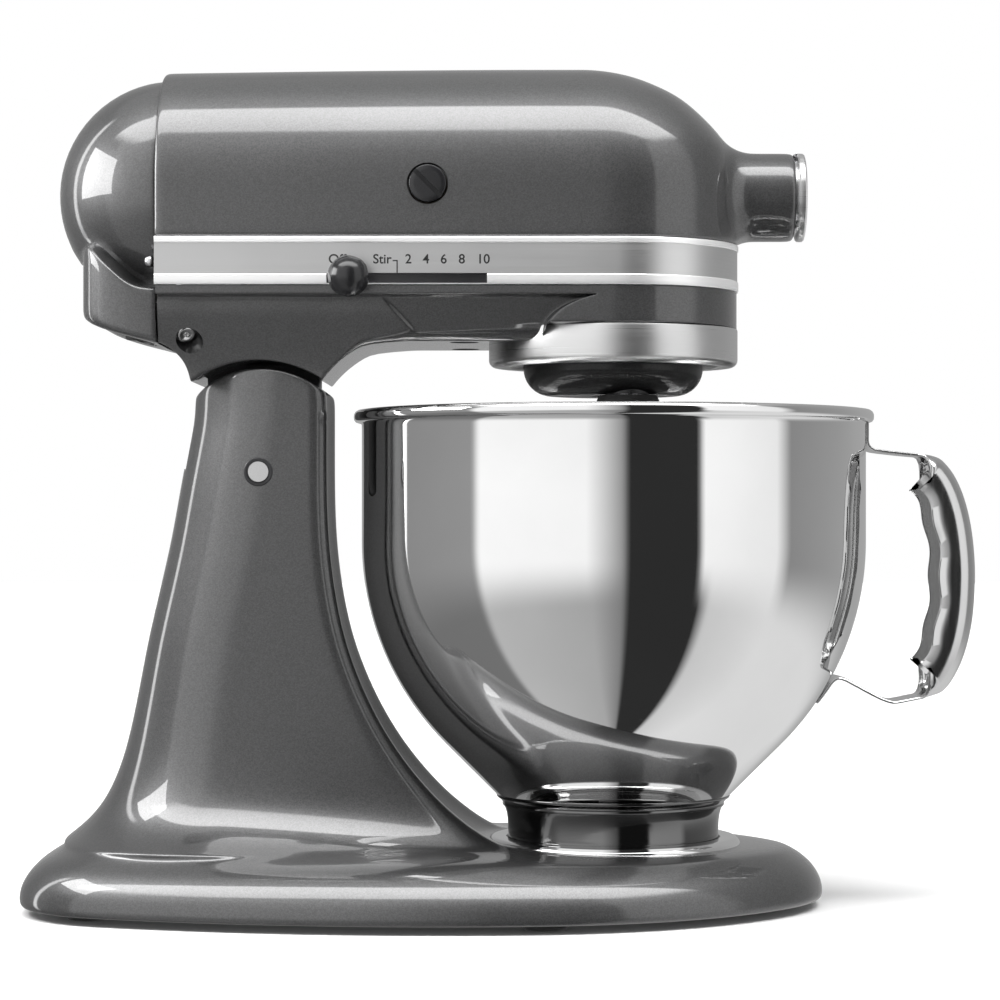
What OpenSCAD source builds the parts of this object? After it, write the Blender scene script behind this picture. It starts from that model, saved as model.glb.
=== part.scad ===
// Tilt-head stand mixer: cast stand and head, planetary drive, bayonet bowl.
// Millimetres, +Z up. Front of the mixer is +X and the tilt hinge runs along Y.
// The pieces are drawn round the bowl axis and then moved, so that the origin
// lies on the table under the middle of the whole mixer.

/* [Stand] */
// Distance from the bowl axis to the front tip of the base
base_front = 89.5; // [80:0.5:110]
// Radius of the nose of the base outline
nose_r = 72; // [66:1:78]
// Radius of the base outline beside the bowl
flank_r = 150; // [140:1:160]
// Radius of the base outline beside the column
waist_r = 410; // [390:5:430]
// Radius of the rear corners of the base outline
rear_r = 51.5; // [48:0.5:55]
// Height of the flat top of the base that carries the bowl
base_top = 26; // [25:0.5:32]
// Radius of the rounded edge round the base
base_edge = 20; // [14:0.5:21]
// Thickness of the casting walls
cast_wall = 4; // [3:0.5:5]
// Height of the rubber feet below the casting
foot_h = 3.2; // [2:0.2:6]
// Radius of a rubber foot
foot_r = 9; // [7:0.5:11]
// Half the width of the column
column_half_w = 37; // [36:0.5:40]
// Radius of the concave flare at the foot of the column
flare_r = 38; // [32:1:40]
// Lean of the rear of the column, in degrees from upright
column_lean = 11.4; // [9:0.2:13]
// Radius of the concave front of the column, seen from the side
sweep_r = 161.5; // [155:0.5:170]

/* [Hinge and lock] */
// Distance from the bowl axis back to the hinge pin
hinge_back = 148; // [146:0.5:150]
// Height of the hinge pin above the table
hinge_z = 183; // [181:0.5:185]
// Radius of the hinge pin
hinge_pin_r = 4.2; // [3.5:0.1:5]
// Radius of the domed top of the column round the hinge pin
column_top_r = 43; // [42:0.5:44]
// Half the width of the tongue that hangs from the head
tongue_half_w = 18.6; // [16:0.2:21]
// Radius of the round end of the tongue
tongue_r = 24; // [23:0.5:25]
// Greatest tilt of the head, in degrees
tilt_max = 45; // [35:1:45]
// Radius of the lock pin
lock_pin_r = 3; // [2.5:0.1:3.4]
// Travel of the lock pin
lock_travel = 9; // [8:0.5:10]

/* [Head] */
// Half the width of the head, and the radius of its round front
head_r = 52.6; // [51:0.2:54]
// Height of the top of the head
head_top = 354; // [350:1:358]
// Height of the shaft that runs from the motor to the attachment hub
head_axis_z = 300; // [298:0.5:302]
// Distance from the bowl axis back to the seam of the end cap
seam_back = 189.4; // [187:0.5:192]
// Height of the lower edge of the trim band
band_bottom = 259.2; // [258:0.2:261]
// Height of the trim band
band_h = 19.8; // [18:0.2:21]
// Thickness of the head castings
head_wall = 3; // [2.5:0.1:3.5]
// Height of the underside of the gear end of the head
nose_bottom = 244; // [243:0.2:245]
// Radius of the domed end cap
cap_r = 49.2; // [48:0.2:50]
// Radius of the attachment hub
hub_r = 18.7; // [18:0.1:20]
// Distance from the bowl axis to the end of the hub casting
hub_front = 76.4; // [74:0.2:79]
// Radius of the attachment socket
socket_r = 12.7; // [12:0.1:13.2]
// Length of the travel of the speed lever
speed_travel = 54; // [48:1:56]
// Distance from the bowl axis back to the speed lever at Off
speed_back = 109.5; // [107:0.5:111]

/* [Bowl] */
// Outer radius of the straight wall of the bowl
bowl_r = 106.8; // [98:0.2:107.6]
// Height of the rim of the bowl above the table
bowl_rim_z = 209.4; // [205:0.2:211]
// Height where the straight wall of the bowl ends
bowl_knuckle_z = 154; // [148:1:160]
// Radius of the curved lower wall of the bowl
bowl_curve_r = 121; // [116:1:124]
// Thickness of the bowl sheet
bowl_wall = 1.2; // [1:0.1:1.6]
// Radius of the rolled rim
bowl_bead_r = 2.25; // [1.8:0.05:2.6]
// Radius of the bowl foot
bowl_foot_r = 44.7; // [43:0.1:46]
// Distance from the bowl axis to the outside of the handle
handle_reach = 153.5; // [150:0.5:158]
// Radius of the long curve of the handle
handle_curve_r = 91.6; // [88:0.2:95]
// Width of the handle grip
grip_w = 34; // [30:1:36]
// Width of the strap that joins the grip to the bowl
strap_w = 25; // [22:1:28]

/* [Drive] */
// Tooth size of the planetary gears, as the gear module
gear_module = 1.25; // [1.2:0.01:1.3]
// Teeth of the fixed ring gear
ring_teeth = 54; // [54:1:54]
// Teeth of the beater pinion
pinion_teeth = 16; // [16:1:16]
// Radius of the planetary dish
dish_r = 38.1; // [36:0.1:40]
// Height of the bottom of the planetary dish
dish_bottom = 215.5; // [214:0.2:217]
// Radius of the beater shaft
beater_shaft_r = 6.2; // [5.5:0.1:6.6]
// Radius of the armature
armature_r = 26; // [24:0.5:27]
// Radius of the worm wheel
wheel_r = 17; // [15:0.5:18]

/* [Fits] */
// Gap between pieces that move against each other
gap = 0.3; // [0.25:0.05:0.4]
// Radial play of a pin or shaft in its bore
play = 0.05; // [0.03:0.01:0.08]

/* [Hidden] */
$fn = 96;
eps = 0.01;
// Arc chain of the base outline: radii and the outward directions where they meet
turn_a = 38.5;
turn_b = 84;
turn_c = 110.5;
turn_d = 174.5;
function dir(a) = [cos(a), sin(a)];
centre_a = [base_front - nose_r, 0];
centre_b = centre_a + (nose_r - flank_r) * dir(turn_a);
centre_c = centre_b + (flank_r - waist_r) * dir(turn_b);
centre_d = centre_c + (waist_r - rear_r) * dir(turn_c);
tail_r = rear_r + centre_d[1] / sin(turn_d);
centre_e = centre_d + (rear_r - tail_r) * dir(turn_d);
base_rear = tail_r - centre_e[0];
// The middle of the mixer lies halfway between the base's rear and the handle
axis_x = (base_rear - handle_reach) / 2;

base_flat = foot_h;
// ceiling of the hollow under the base
pan_top = base_top - cast_wall - 6;
column_width = 2 * column_half_w;
rear_foot_x = -(base_rear - 78);
trough_r = 126.7;
trough_z = bowl_knuckle_z - 4;
plate_r = 53.9;
plate_floor_z = base_top - 0.5;
plate_top_z = base_top + 3;
hub_z = head_axis_z;
band_top = band_bottom + band_h;
split_z = band_bottom + band_h / 2;
lock_arm = 17;
lock_angle = -50;
lock_x = -hinge_back + lock_arm * cos(lock_angle);
lock_z = hinge_z + lock_arm * sin(lock_angle);
neck_r = column_top_r + 1.2;
beater_offset = gear_module * (ring_teeth - pinion_teeth) / 2;
beater_angle = -77;

module placed() {
  translate([axis_x, 0, 0])
    children();
}

// A cylinder that lies along Y, centred on y = 0
module across(r, w) {
  rotate([90, 0, 0])
    cylinder(r = r, h = w, center = true);
}

// A side profile in X and Z, given width along Y
module side_slab(w) {
  rotate([90, 0, 0])
    linear_extrude(w, center = true)
      children();
}

// Points along the base outline, drawn in by a margin
function arc_points(c, r, a, b) = [for (t = [a : (b - a) / 8 : b + 0.001]) c + r * dir(t)];
function half_outline(m) = concat(
  arc_points(centre_a, nose_r - m, 0, turn_a),
  arc_points(centre_b, flank_r - m, turn_a + 0.5, turn_b),
  arc_points(centre_c, waist_r - m, turn_b + 0.5, turn_c),
  arc_points(centre_d, rear_r - m, turn_c + 0.5, turn_d),
  arc_points(centre_e, tail_r - m, turn_d + 0.5, 180));
function mirrored(p) = [for (k = [len(p) - 2 : -1 : 1]) [p[k][0], -p[k][1]]];
module base_plan(m) {
  polygon(concat(half_outline(m), mirrored(half_outline(m))));
}

// The base as a slab with a rounded upper edge: one outline on each level
edge_steps = 9;
function base_ring(m, z) = [for (p = concat(half_outline(m), mirrored(half_outline(m))))
  [p[0], p[1], z]];
function base_levels(top, edge) = concat(
  [base_ring(1.2, base_flat), base_ring(0, base_flat + 1.2)],
  [for (k = [0 : edge_steps])
    let (a = 90 * k / edge_steps)
    base_ring(edge * (1 - cos(a)), top - edge * (1 - sin(a)))]);
module base_slab(top, edge) {
  levels = base_levels(top, edge);
  n = len(levels[0]);
  last = len(levels) - 1;
  polyhedron(
    points = [for (ring = levels) for (p = ring) p],
    faces = concat(
      [[for (i = [0 : n - 1]) i]],
      [[for (i = [n - 1 : -1 : 0]) last * n + i]],
      [for (k = [0 : last - 1])
        for (i = [0 : n - 1])
          let (j = (i + 1) % n)
          [k * n + i, (k + 1) * n + i, (k + 1) * n + j, k * n + j]]));
}

// Foot of the column: a concave flare round a capsule-shaped core
module flare_profile() {
  difference() {
    square([column_half_w + flare_r - 6, flare_r]);
    translate([column_half_w + flare_r - 0.4, flare_r])
      circle(flare_r, $fn = 180);
  }
}
module flare() {
  front_x = -92;
  translate([0, 0, base_top]) {
    for (x = [rear_foot_x, front_x])
      translate([x, 0, 0])
        rotate_extrude()
          flare_profile();
    translate([rear_foot_x, 0, 0])
      rotate([90, 0, 90])
        linear_extrude(front_x - rear_foot_x)
          union() {
            flare_profile();
            mirror([1, 0])
              flare_profile();
          }
  }
}

// The upright of the column: a leaning round back, a slab in front, a domed top
module upright() {
  root_z = base_top + flare_r;
  intersection() {
    union() {
      translate([rear_foot_x, 0, root_z])
        rotate([0, column_lean, 0])
          translate([0, 0, -30])
            cylinder(r = column_half_w, h = 260);
      side_slab(column_width - 0.1)
        polygon([
          [rear_foot_x, base_top],
          [rear_foot_x, root_z],
          [rear_foot_x + (hinge_z + 60 - root_z) * tan(column_lean), hinge_z + 60],
          [-60, hinge_z + 60],
          [-60, base_top]]);
    }
    union() {
      translate([-250, -column_width, base_top - 1])
        cube([200, 2 * column_width, hinge_z - base_top + 1]);
      translate([-hinge_back, 0, hinge_z])
        across(column_top_r, 2 * column_width);
    }
  }
}

// The room that the column leaves for the bowl, turned round the bowl axis
module bowl_sweep() {
  rotate_extrude($fn = 180)
    difference() {
      translate([0, base_top - 1])
        square([trough_r, hinge_z + 60]);
      intersection() {
        translate([trough_r - sweep_r, trough_z])
          difference() {
            square([sweep_r * 2, sweep_r * 2], center = true);
            circle(sweep_r, $fn = 240);
          }
        square([trough_r + 1, trough_z]);
      }
    }
}

// The swing of the tongue through the top of the column
module tongue_slot() {
  w = 2 * (tongue_half_w + gap + 0.1);
  translate([-hinge_back, 0, hinge_z]) {
    across(tongue_r + 0.6, w);
    // open towards the top, over the whole travel of the tongue
    side_slab(w + 0.2)
      polygon([
        [23, 0],
        [23, 60],
        [-23, 60],
        [-23 * cos(tilt_max) - 60 * sin(tilt_max), 60 * cos(tilt_max) - 23 * sin(tilt_max)],
        [-23 * cos(tilt_max), -23 * sin(tilt_max)]]);
  }
}

column_screws = [[-200, 20], [-200, -20], [-104, 30], [-104, -30]];

// Column: hollow inside, slotted at the top for the tongue of the head
module column_casting() {
  color([0.33, 0.33, 0.34])
    placed()
      difference() {
        union() {
          flare();
          upright();
        }
        bowl_sweep();
        translate([-hinge_back - 28, -column_half_w + cast_wall + 2, base_top - 1])
          cube([56, column_width - 2 * cast_wall - 4, lock_z - 75 - base_top]);
        tongue_slot();
        translate([-hinge_back, 0, hinge_z])
          across(hinge_pin_r, column_width + 2);
        translate([lock_x, 0, lock_z])
          rotate([-90, 0, 0])
            cylinder(r = lock_pin_r + play, h = 60);
        for (p = column_screws)
          translate([p[0], p[1], base_top - 1])
            cylinder(r = 2.5, h = 13);
      }
}
// Base: one rounded slab, hollow below, with a seat for the bowl plate
module base_casting() {
  color([0.33, 0.33, 0.34])
    placed()
      difference() {
        base_slab(base_top, base_edge);
        translate([0, 0, -1])
          linear_extrude(pan_top + 1)
            base_plan(base_edge * 0.55 + cast_wall);
        translate([0, 0, base_top - 2])
          cylinder(r = plate_r + 0.1, h = 10);
        for (a = plate_screw_angles)
          rotate([0, 0, a])
            translate([plate_screw_out, 0, pan_top - 1])
              cylinder(r = 2, h = 12);
        for (p = column_screws)
          translate([p[0], p[1], pan_top - 1])
            cylinder(r = 2.6, h = 20);
      }
}
module base_screws() {
  color([0.72, 0.72, 0.73])
    placed()
      for (p = column_screws)
        translate([p[0], p[1], pan_top])
          mirror([0, 0, 1])
            screw(2.45, 21, 4.5, 2.6);
}

plate_screw_angles = [30, 150, 270];
plate_screw_out = 24;

// Feet stand well inside the outline: one in front, two at the waist, two behind
mid_foot = centre_c + (waist_r - 20.5) * dir(turn_b);
rear_foot = centre_d + (rear_r - 22.4) * dir(132.8);
foot_places = [
  centre_a + [nose_r - 31.5, 0],
  mid_foot,
  [mid_foot[0], -mid_foot[1]],
  rear_foot,
  [rear_foot[0], -rear_foot[1]]];
module rubber_feet() {
  color([0.08, 0.08, 0.08])
    placed()
      for (p = foot_places)
        translate([p[0], p[1], 0])
          rotate_extrude($fn = 48)
            difference() {
              union() {
                square([foot_r, foot_h]);
                translate([0, foot_h - eps])
                  square([foot_r / 2, pan_top - foot_h + eps]);
              }
              translate([foot_r - 1.2, 0])
                difference() {
                  square([2, 1.2]);
                  translate([0, 1.2])
                    circle(1.2);
                }
            }
}

module hinge_pin() {
  color([0.75, 0.75, 0.76])
    placed()
      translate([-hinge_back, 0, hinge_z])
        intersection() {
          across(hinge_pin_r, column_width + 1.6);
          rotate([90, 0, 0])
            sphere(r = column_half_w + 1.1, $fn = 180);
        }
}

// Bayonet plate: a disc with a raised rim whose lip is notched for the bowl lugs
lug_count = 4;
lug_angle = 24;
lug_out = bowl_foot_r + 3.4;
lip_z = plate_floor_z + 3.3;
module ring_sector(r_in, r_out, z, h, mid, angle) {
  rotate([0, 0, mid - angle / 2])
    rotate_extrude(angle = angle)
      translate([r_in, z])
        square([r_out - r_in, h]);
}
module bowl_clamp_plate() {
  color([0.36, 0.36, 0.37])
    placed()
      difference() {
        rotate_extrude()
          difference() {
            translate([0, base_top - 2])
              square([plate_r, plate_top_z - base_top + 2]);
            translate([0, plate_floor_z])
              square([bowl_foot_r + gap, 10]);
            translate([bowl_foot_r + gap - eps, plate_floor_z])
              square([lug_out + gap - bowl_foot_r - gap, 2.5]);
            translate([plate_r - 1.6, plate_top_z - 1.6])
              difference() {
                square([2, 2]);
                circle(1.6);
              }
          }
        for (k = [0 : lug_count - 1])
          ring_sector(bowl_foot_r - 1, lug_out + gap, plate_floor_z, 10,
            45 + 90 * k, lug_angle + 5);
        for (a = plate_screw_angles)
          rotate([0, 0, a])
            translate([plate_screw_out, 0, 0])
              cylinder(r = 2.2, h = 60);
      }
}

// A fastener along +Z with its head bottom at the origin
module screw(shank_r, shank_l, head_r, head_h) {
  difference() {
    union() {
      translate([0, 0, -shank_l])
        cylinder(r = shank_r, h = shank_l + eps, $fn = 32);
      intersection() {
        cylinder(r = head_r, h = head_h, $fn = 32);
        translate([0, 0, head_h - head_r * 1.7])
          sphere(r = head_r * 1.7, $fn = 48);
      }
    }
    for (a = [0, 90])
      rotate([0, 0, a])
        translate([-head_r * 0.6, -0.45, head_h * 0.5])
          cube([head_r * 1.2, 0.9, head_h]);
  }
}
module clamp_plate_screws() {
  color([0.72, 0.72, 0.73])
    placed()
      for (a = plate_screw_angles)
        rotate([0, 0, a])
          translate([plate_screw_out, 0, plate_floor_z])
            screw(1.95, 9, 4, 2.2);
}

// Lock: the lever turns round the pin and drives it through the cheek of the column
lever_y = column_half_w + gap;
lever_hub_h = 9 + lock_travel;
lever_l = 26;
module lock_lever() {
  color([0.72, 0.72, 0.73])
    placed()
      translate([lock_x, lever_y, lock_z])
        rotate([-90, 0, 0])
          difference() {
            union() {
              cylinder(r = 8.5, h = lever_hub_h);
              translate([-lever_l, -3.2, 4])
                cube([lever_l, 6.4, 4]);
              translate([-lever_l, 0, 4])
                cylinder(r = 3.2, h = 8);
              translate([-lever_l, 0, 14])
                sphere(r = 6, $fn = 48);
            }
            translate([0, 0, -1])
              cylinder(r = lock_pin_r + play, h = lever_hub_h - 1);
          }
}
module lock_pin() {
  color([0.7, 0.7, 0.7])
    placed()
      translate([lock_x, tongue_half_w + 5.5, lock_z])
        rotate([-90, 0, 0]) {
          cylinder(r = lock_pin_r, h = lever_y + lever_hub_h - 3 - tongue_half_w - 5.5);
          translate([0, 0, -2])
            cylinder(r1 = lock_pin_r - 1.2, r2 = lock_pin_r, h = 2);
        }
}

// Half section of the head shell: an upright side under a round roof
module head_half(inset) {
  r = head_r - inset;
  roof_z = head_top - head_r;
  translate([0, band_top - 30])
    square([r, roof_z - band_top + 30]);
  intersection() {
    translate([0, roof_z])
      circle(r, $fn = 180);
    translate([0, roof_z - eps])
      square([r, r]);
  }
}
module head_block(inset, back) {
  intersection() {
    union() {
      rotate_extrude($fn = 180)
        head_half(inset);
      rotate([90, 0, -90])
        linear_extrude(back) {
          head_half(inset);
          mirror([1, 0])
            head_half(inset);
        }
    }
    // the roof falls away towards the nose
    side_slab(2 * head_r + 2)
      union() {
        translate([-400, 200])
          square([386, head_top - 200 - inset]);
        translate([-14, 277])
          circle(77 - inset, $fn = 240);
        translate([-14, 200])
          square([77 - inset, 77]);
      }
  }
}
// Plan of the head: a round front and straight sides
module head_plan(r, back) {
  circle(r, $fn = 180);
  translate([-back, -r])
    square([back, 2 * r]);
}

module upper_housing() {
  color([0.33, 0.33, 0.34])
    placed()
      difference() {
        union() {
          intersection() {
            head_block(0, seam_back);
            translate([-400, -200, band_top])
              cube([800, 400, 200]);
          }
          // the part of the wall behind the trim band
          translate([0, 0, split_z])
            linear_extrude(band_top - split_z + 1)
              head_plan(head_r - 1.5, seam_back);
          // attachment hub
          translate([0, 0, hub_z])
            rotate([0, 90, 0]) {
              cylinder(r = hub_r, h = hub_front - 2);
              cylinder(r = hub_r - 2, h = hub_front);
              cylinder(r = hub_r - 2.4, h = hub_front + 2.4);
              translate([0, 0, hub_front - 2])
                rotate_extrude()
                  translate([hub_r - 2, 0])
                    intersection() {
                      circle(2, $fn = 32);
                      square([2, 2]);
                    }
            }
          // ears of the hub cover's hinge
          for (side = [-1, 1])
            translate([hub_front + 1.1, 6.6 * side, hub_z + cover_hinge]) {
              across(1.5, 2.4);
              translate([-3, -1.2, -3.4])
                cube([3, 2.4, 3.9]);
            }
          // boss for the attachment screw
          translate([knob_x, 0, hub_z])
            rotate([-90, 0, 0])
              cylinder(r = 8, h = hub_r + 3);
        }
        // inside
        difference() {
          intersection() {
            head_block(head_wall, seam_back + 1);
            translate([-400, -200, split_z - 1])
              cube([800, 400, 200]);
          }
          translate([hub_inner, 0, hub_z])
            rotate([0, 90, 0])
              cylinder(r = hub_r - 1, h = 60);
        }
        translate([-seam_back - 1, -head_r + head_wall + 1.5, split_z - 1])
          cube([seam_back, 2 * (head_r - head_wall - 1.5), 12]);
        translate([hub_front + 1.1, 0, hub_z + cover_hinge])
          across(0.7, 20);
        // attachment socket and the bore of its drive shaft
        translate([hub_inner - 1, 0, hub_z])
          rotate([0, 90, 0]) {
            cylinder(r = hub_bush_r, h = 80);
            translate([0, 0, socket_floor - hub_inner + 1])
              cylinder(r = socket_r, h = 60);
            // relief at the floor and at the mouth
            translate([0, 0, socket_floor - hub_inner])
              cylinder(r = socket_r + 0.7, h = 2);
            translate([0, 0, hub_front + 2.4 - hub_inner])
              cylinder(r = socket_r + 0.7, h = 60);
          }
        translate([knob_x, 0, hub_z])
          rotate([-90, 0, 0])
            cylinder(r = knob_shank_r + play, h = 60);
        // seats of the brush caps, one on each side
        for (side = [-1, 1])
          translate([brush_x, 0, brush_z])
            rotate([-90 * side, 0, 0])
              cylinder(r = brush_cap_r + 0.25, h = 80);
        band_slot();
      }
}
knob_x = hub_front - 11;
knob_shank_r = 3;
hub_inner = 33;
hub_bush_r = 9.5;
socket_floor = 48;
brush_x = -77.7;
brush_z = head_axis_z + 0.5;
brush_cap_r = 7.8;

// Slot of the speed lever, cut through the band and the wall behind it
slot_z = band_bottom + 2.6;
module band_slot() {
  translate([-speed_back - 6, -head_r - 5, slot_z - 2.2])
    cube([speed_travel + 12, 12, 4.4]);
}

module trim_band() {
  color([0.78, 0.78, 0.78])
    placed()
      difference() {
        translate([0, 0, band_bottom])
          union() {
            linear_extrude(band_h)
              head_plan(head_r + 0.1, seam_back);
            for (z = [0, band_h - 2.4])
              translate([0, 0, z])
                linear_extrude(2.4)
                  head_plan(head_r + 0.6, seam_back);
          }
        translate([0, 0, band_bottom - 1])
          linear_extrude(band_h + 2)
            head_plan(head_r - 1.5, seam_back + 2);
        band_slot();
      }
}

// Lower half of the head: a tub with the gear end in front and the neck behind
neck_half_w = column_half_w - 2;
floor_z = nose_bottom - 4;
module neck_side() {
  difference() {
    polygon([
      [-seam_back, band_bottom - 4],
      [-seam_back, floor_z - 4],
      [-hinge_back - 36, hinge_z + 46],
      [-hinge_back - 29, hinge_z + 30],
      [-hinge_back + 30, hinge_z + 30],
      [-hinge_back + 34, hinge_z + 42],
      [-hinge_back + 46, floor_z + 1],
      [-20, floor_z],
      [-20, band_bottom - 4]]);
    translate([-hinge_back, hinge_z])
      circle(neck_r, $fn = 120);
  }
}
module lower_outer() {
  translate([0, 0, band_bottom - 4])
    linear_extrude(4)
      head_plan(head_r, seam_back);
  translate([0, 0, band_bottom - eps])
    linear_extrude(band_h / 2)
      head_plan(head_r - 1.5, seam_back);
  // round gear end
  translate([0, 0, nose_bottom])
    linear_extrude(band_bottom - nose_bottom)
      difference() {
        circle(head_r, $fn = 180);
        translate([-100, -100])
          square([78, 200]);
      }
  translate([0, 0, nose_bottom - 7])
    cylinder(r = ring_seat_r + 4, h = 8);
  side_slab(2 * (head_r - 7))
    intersection() {
      neck_side();
      translate([-300, floor_z])
        square([300, 40]);
    }
  side_slab(2 * neck_half_w)
    neck_side();
}
module tongue() {
  side_slab(2 * tongue_half_w)
    union() {
      translate([-hinge_back, hinge_z])
        circle(tongue_r);
      translate([-hinge_back - 22, hinge_z])
        square([44, floor_z - hinge_z + 8]);
    }
}
ring_seat_r = gear_module * ring_teeth / 2 + 12.5;
module lower_housing() {
  color([0.33, 0.33, 0.34])
    placed()
      difference() {
        union() {
          lower_outer();
          tongue();
        }
        // inside of the tub
        difference() {
          translate([0, 0, nose_bottom + 5])
            linear_extrude(60)
              intersection() {
                head_plan(head_r - head_wall - 6.5, seam_back - 12);
                translate([-seam_back + 4, -100])
                  square([400, 200]);
              }
          cylinder(r = 14, h = nose_bottom + 11);
          translate([wheel_x, wheel_y, 0])
            cylinder(r = 8, h = nose_bottom + 9);
        }
        translate([0, 0, band_bottom])
          linear_extrude(60)
            head_plan(head_r - head_wall - 1.5, seam_back + 2);
        // recess of the ring gear and bore of the planetary shaft
        translate([0, 0, nose_bottom - 20])
          cylinder(r = ring_seat_r, h = 20);
        cylinder(r = planet_bush_r, h = 400);
        translate([wheel_x, wheel_y, nose_bottom + 1])
          cylinder(r = 4 + play, h = 60);
        // step that the drip ring is pressed on
        rotate_extrude($fn = 180)
          translate([ring_seat_r + 4, 200])
            square([head_r + 2 - ring_seat_r - 4, nose_bottom - 200]);
        // hinge bore and the two holes of the lock pin
        translate([-hinge_back, 0, hinge_z])
          across(hinge_pin_r + play, 80);
        for (a = [0, tilt_max])
          translate([-hinge_back, 0, hinge_z])
            rotate([0, a, 0])
              translate([lock_x + hinge_back, 4, lock_z - hinge_z])
                rotate([-90, 0, 0])
                  cylinder(r = lock_pin_r + 0.3, h = 40);
        // pockets of the housing screws
        for (p = housing_screws)
          translate([p[0], p[1], 0]) {
            cylinder(r = 6, h = floor_z + 3);
            cylinder(r = 2.2, h = 400);
          }
        band_slot();
      }
}
housing_screws = [[-63, 26], [-63, -26]];

// End cap: a dome over a block that carries the air slots and the cord gland
cap_x = -186;
block_bottom = floor_z - 3;
module cap_solid(m) {
  intersection() {
    union() {
      translate([cap_x, 0, head_axis_z])
        sphere(r = cap_r - m, $fn = 180);
      side_slab(2 * (cap_r - 5 - m))
        polygon([
          [-seam_back + 1, head_axis_z - 20],
          [-222.6 + m, head_axis_z - 20],
          [-222.6 + m, 276],
          [-220 + m, block_bottom + 12 + m],
          [-216 + m, block_bottom + 6 + m],
          [-seam_back + 1, block_bottom + m]]);
    }
    // rounded corners of the block in plan
    translate([0, 0, 200])
      linear_extrude(200) {
        translate([cap_x, 0])
          circle(cap_r - m, $fn = 180);
        translate([-222.6 + m, -26])
          square([60, 52]);
        for (side = [-1, 1])
          translate([-203, 24 * side])
            circle(20.2 - m);
      }
    translate([-300, -100, 200])
      cube([300 - seam_back, 200, 200]);
  }
}
module end_cap() {
  color([0.33, 0.33, 0.34])
    placed()
      difference() {
        cap_solid(0);
        difference() {
          intersection() {
            translate([0.05 - seam_back + 190, 0, 0])
              cap_solid(2.6);
            translate([-300, -100, block_bottom + 3])
              cube([300, 200, 200]);
          }
          // boss round the screw
          translate([cap_screw_x - 12, 0, cap_screw_z])
            rotate([0, 90, 0])
              cylinder(r = 6.5, h = 11.5 - cap_screw_x - seam_back);
        }
        for (k = [0 : 4])
          translate([-240, -22, block_bottom + 12 + 5 * k])
            cube([26, 44, 2.4]);
        translate([-204, 26, block_bottom - 10])
          cylinder(r = 5.2, h = 30);
        translate([cap_screw_x - 12, 0, cap_screw_z])
          rotate([0, 90, 0])
            cylinder(r = 2.1, h = 40);
        translate([cap_screw_x - 22, 0, cap_screw_z])
          rotate([0, 90, 0])
            cylinder(r = 4.5, h = 22);
      }
}
cap_screw_x = -212;
cap_screw_z = 328;
module end_cap_screw() {
  color([0.75, 0.75, 0.76])
    placed()
      translate([cap_screw_x, 0, cap_screw_z])
        rotate([0, -90, 0])
          screw(2.05, 24, 4.2, 2.6);
}
module cord_gland() {
  color([0.1, 0.1, 0.1])
    placed()
      translate([-204, 26, block_bottom - 0.2])
        difference() {
          union() {
            translate([0, 0, 1.6])
              cylinder(r = 5.2, h = 8);
            translate([0, 0, 8.6])
              cylinder(r = 6.4, h = 2);
          }
          translate([0, 0, -1])
            cylinder(r = 3.5, h = 20);
        }
}

module housing_screws_set() {
  color([0.75, 0.75, 0.76])
    placed()
      for (p = housing_screws)
        translate([p[0], p[1], floor_z + 3])
          mirror([0, 0, 1])
            screw(2.15, 6, 4.2, 2.4);
}

// Speed control: a strip through the slot, a link inside and a ball outside
module speed_lever() {
  color([0.72, 0.72, 0.73])
    placed()
      translate([-speed_back, 0, slot_z]) {
        translate([-3, -head_r - 7, -0.6])
          cube([6, 12, 1.2]);
        translate([-30, -head_r + 4.9, -1.8])
          cube([36, 1.2, 3.6]);
      }
}
module speed_knob() {
  color([0.06, 0.06, 0.06])
    placed()
      translate([-speed_back, -head_r - 10.2, slot_z])
        difference() {
          sphere(r = 8.5, $fn = 64);
          translate([-3, 2, -0.6])
            cube([6, 10, 1.2]);
        }
}

module hub_cover() {
  color([0.8, 0.8, 0.81])
    placed()
      translate([hub_front + 1.1, 0, hub_z])
        rotate([0, 90, 0])
          difference() {
            union() {
              rotate_extrude()
                difference() {
                  square([hub_r - 0.4, 3.6]);
                  translate([hub_r - 1.4, 2.6])
                    difference() {
                      square([2, 2]);
                      circle(1, $fn = 32);
                    }
                }
              translate([-cover_hinge, -5, 0])
                cube([3, 10, 1.5]);
              translate([-cover_hinge, 0, 0])
                across(1.5, 10);
            }
            translate([0, 0, -1])
              cylinder(r = hub_r - 2.1, h = 2.6);
            translate([-cover_hinge, 0, 0])
              across(0.7 + play, 20);
          }
}
// Height of the cover's hinge above the hub axis
cover_hinge = hub_r + 0.8;
module hub_cover_pin() {
  color([0.8, 0.8, 0.81])
    placed()
      translate([hub_front + 1.1, 0, hub_z + cover_hinge])
        across(0.7, 15);
}
module attachment_knob() {
  color([0.08, 0.08, 0.08])
    placed()
      translate([knob_x, 0, hub_z])
        rotate([-90, 0, 0])
          difference() {
            union() {
              translate([0, 0, socket_r + 0.6])
                cylinder(r = knob_shank_r, h = 18);
              translate([0, 0, hub_r + 3 + gap])
                cylinder(r = 5, h = 4);
              translate([0, 0, hub_r + 6 + gap])
                cylinder(r = 9.6, h = 11);
            }
            for (a = [0 : 45 : 315])
              rotate([0, 0, a])
                translate([11, 0, hub_r + 6])
                  cylinder(r = 2.6, h = 12);
          }
}

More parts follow.
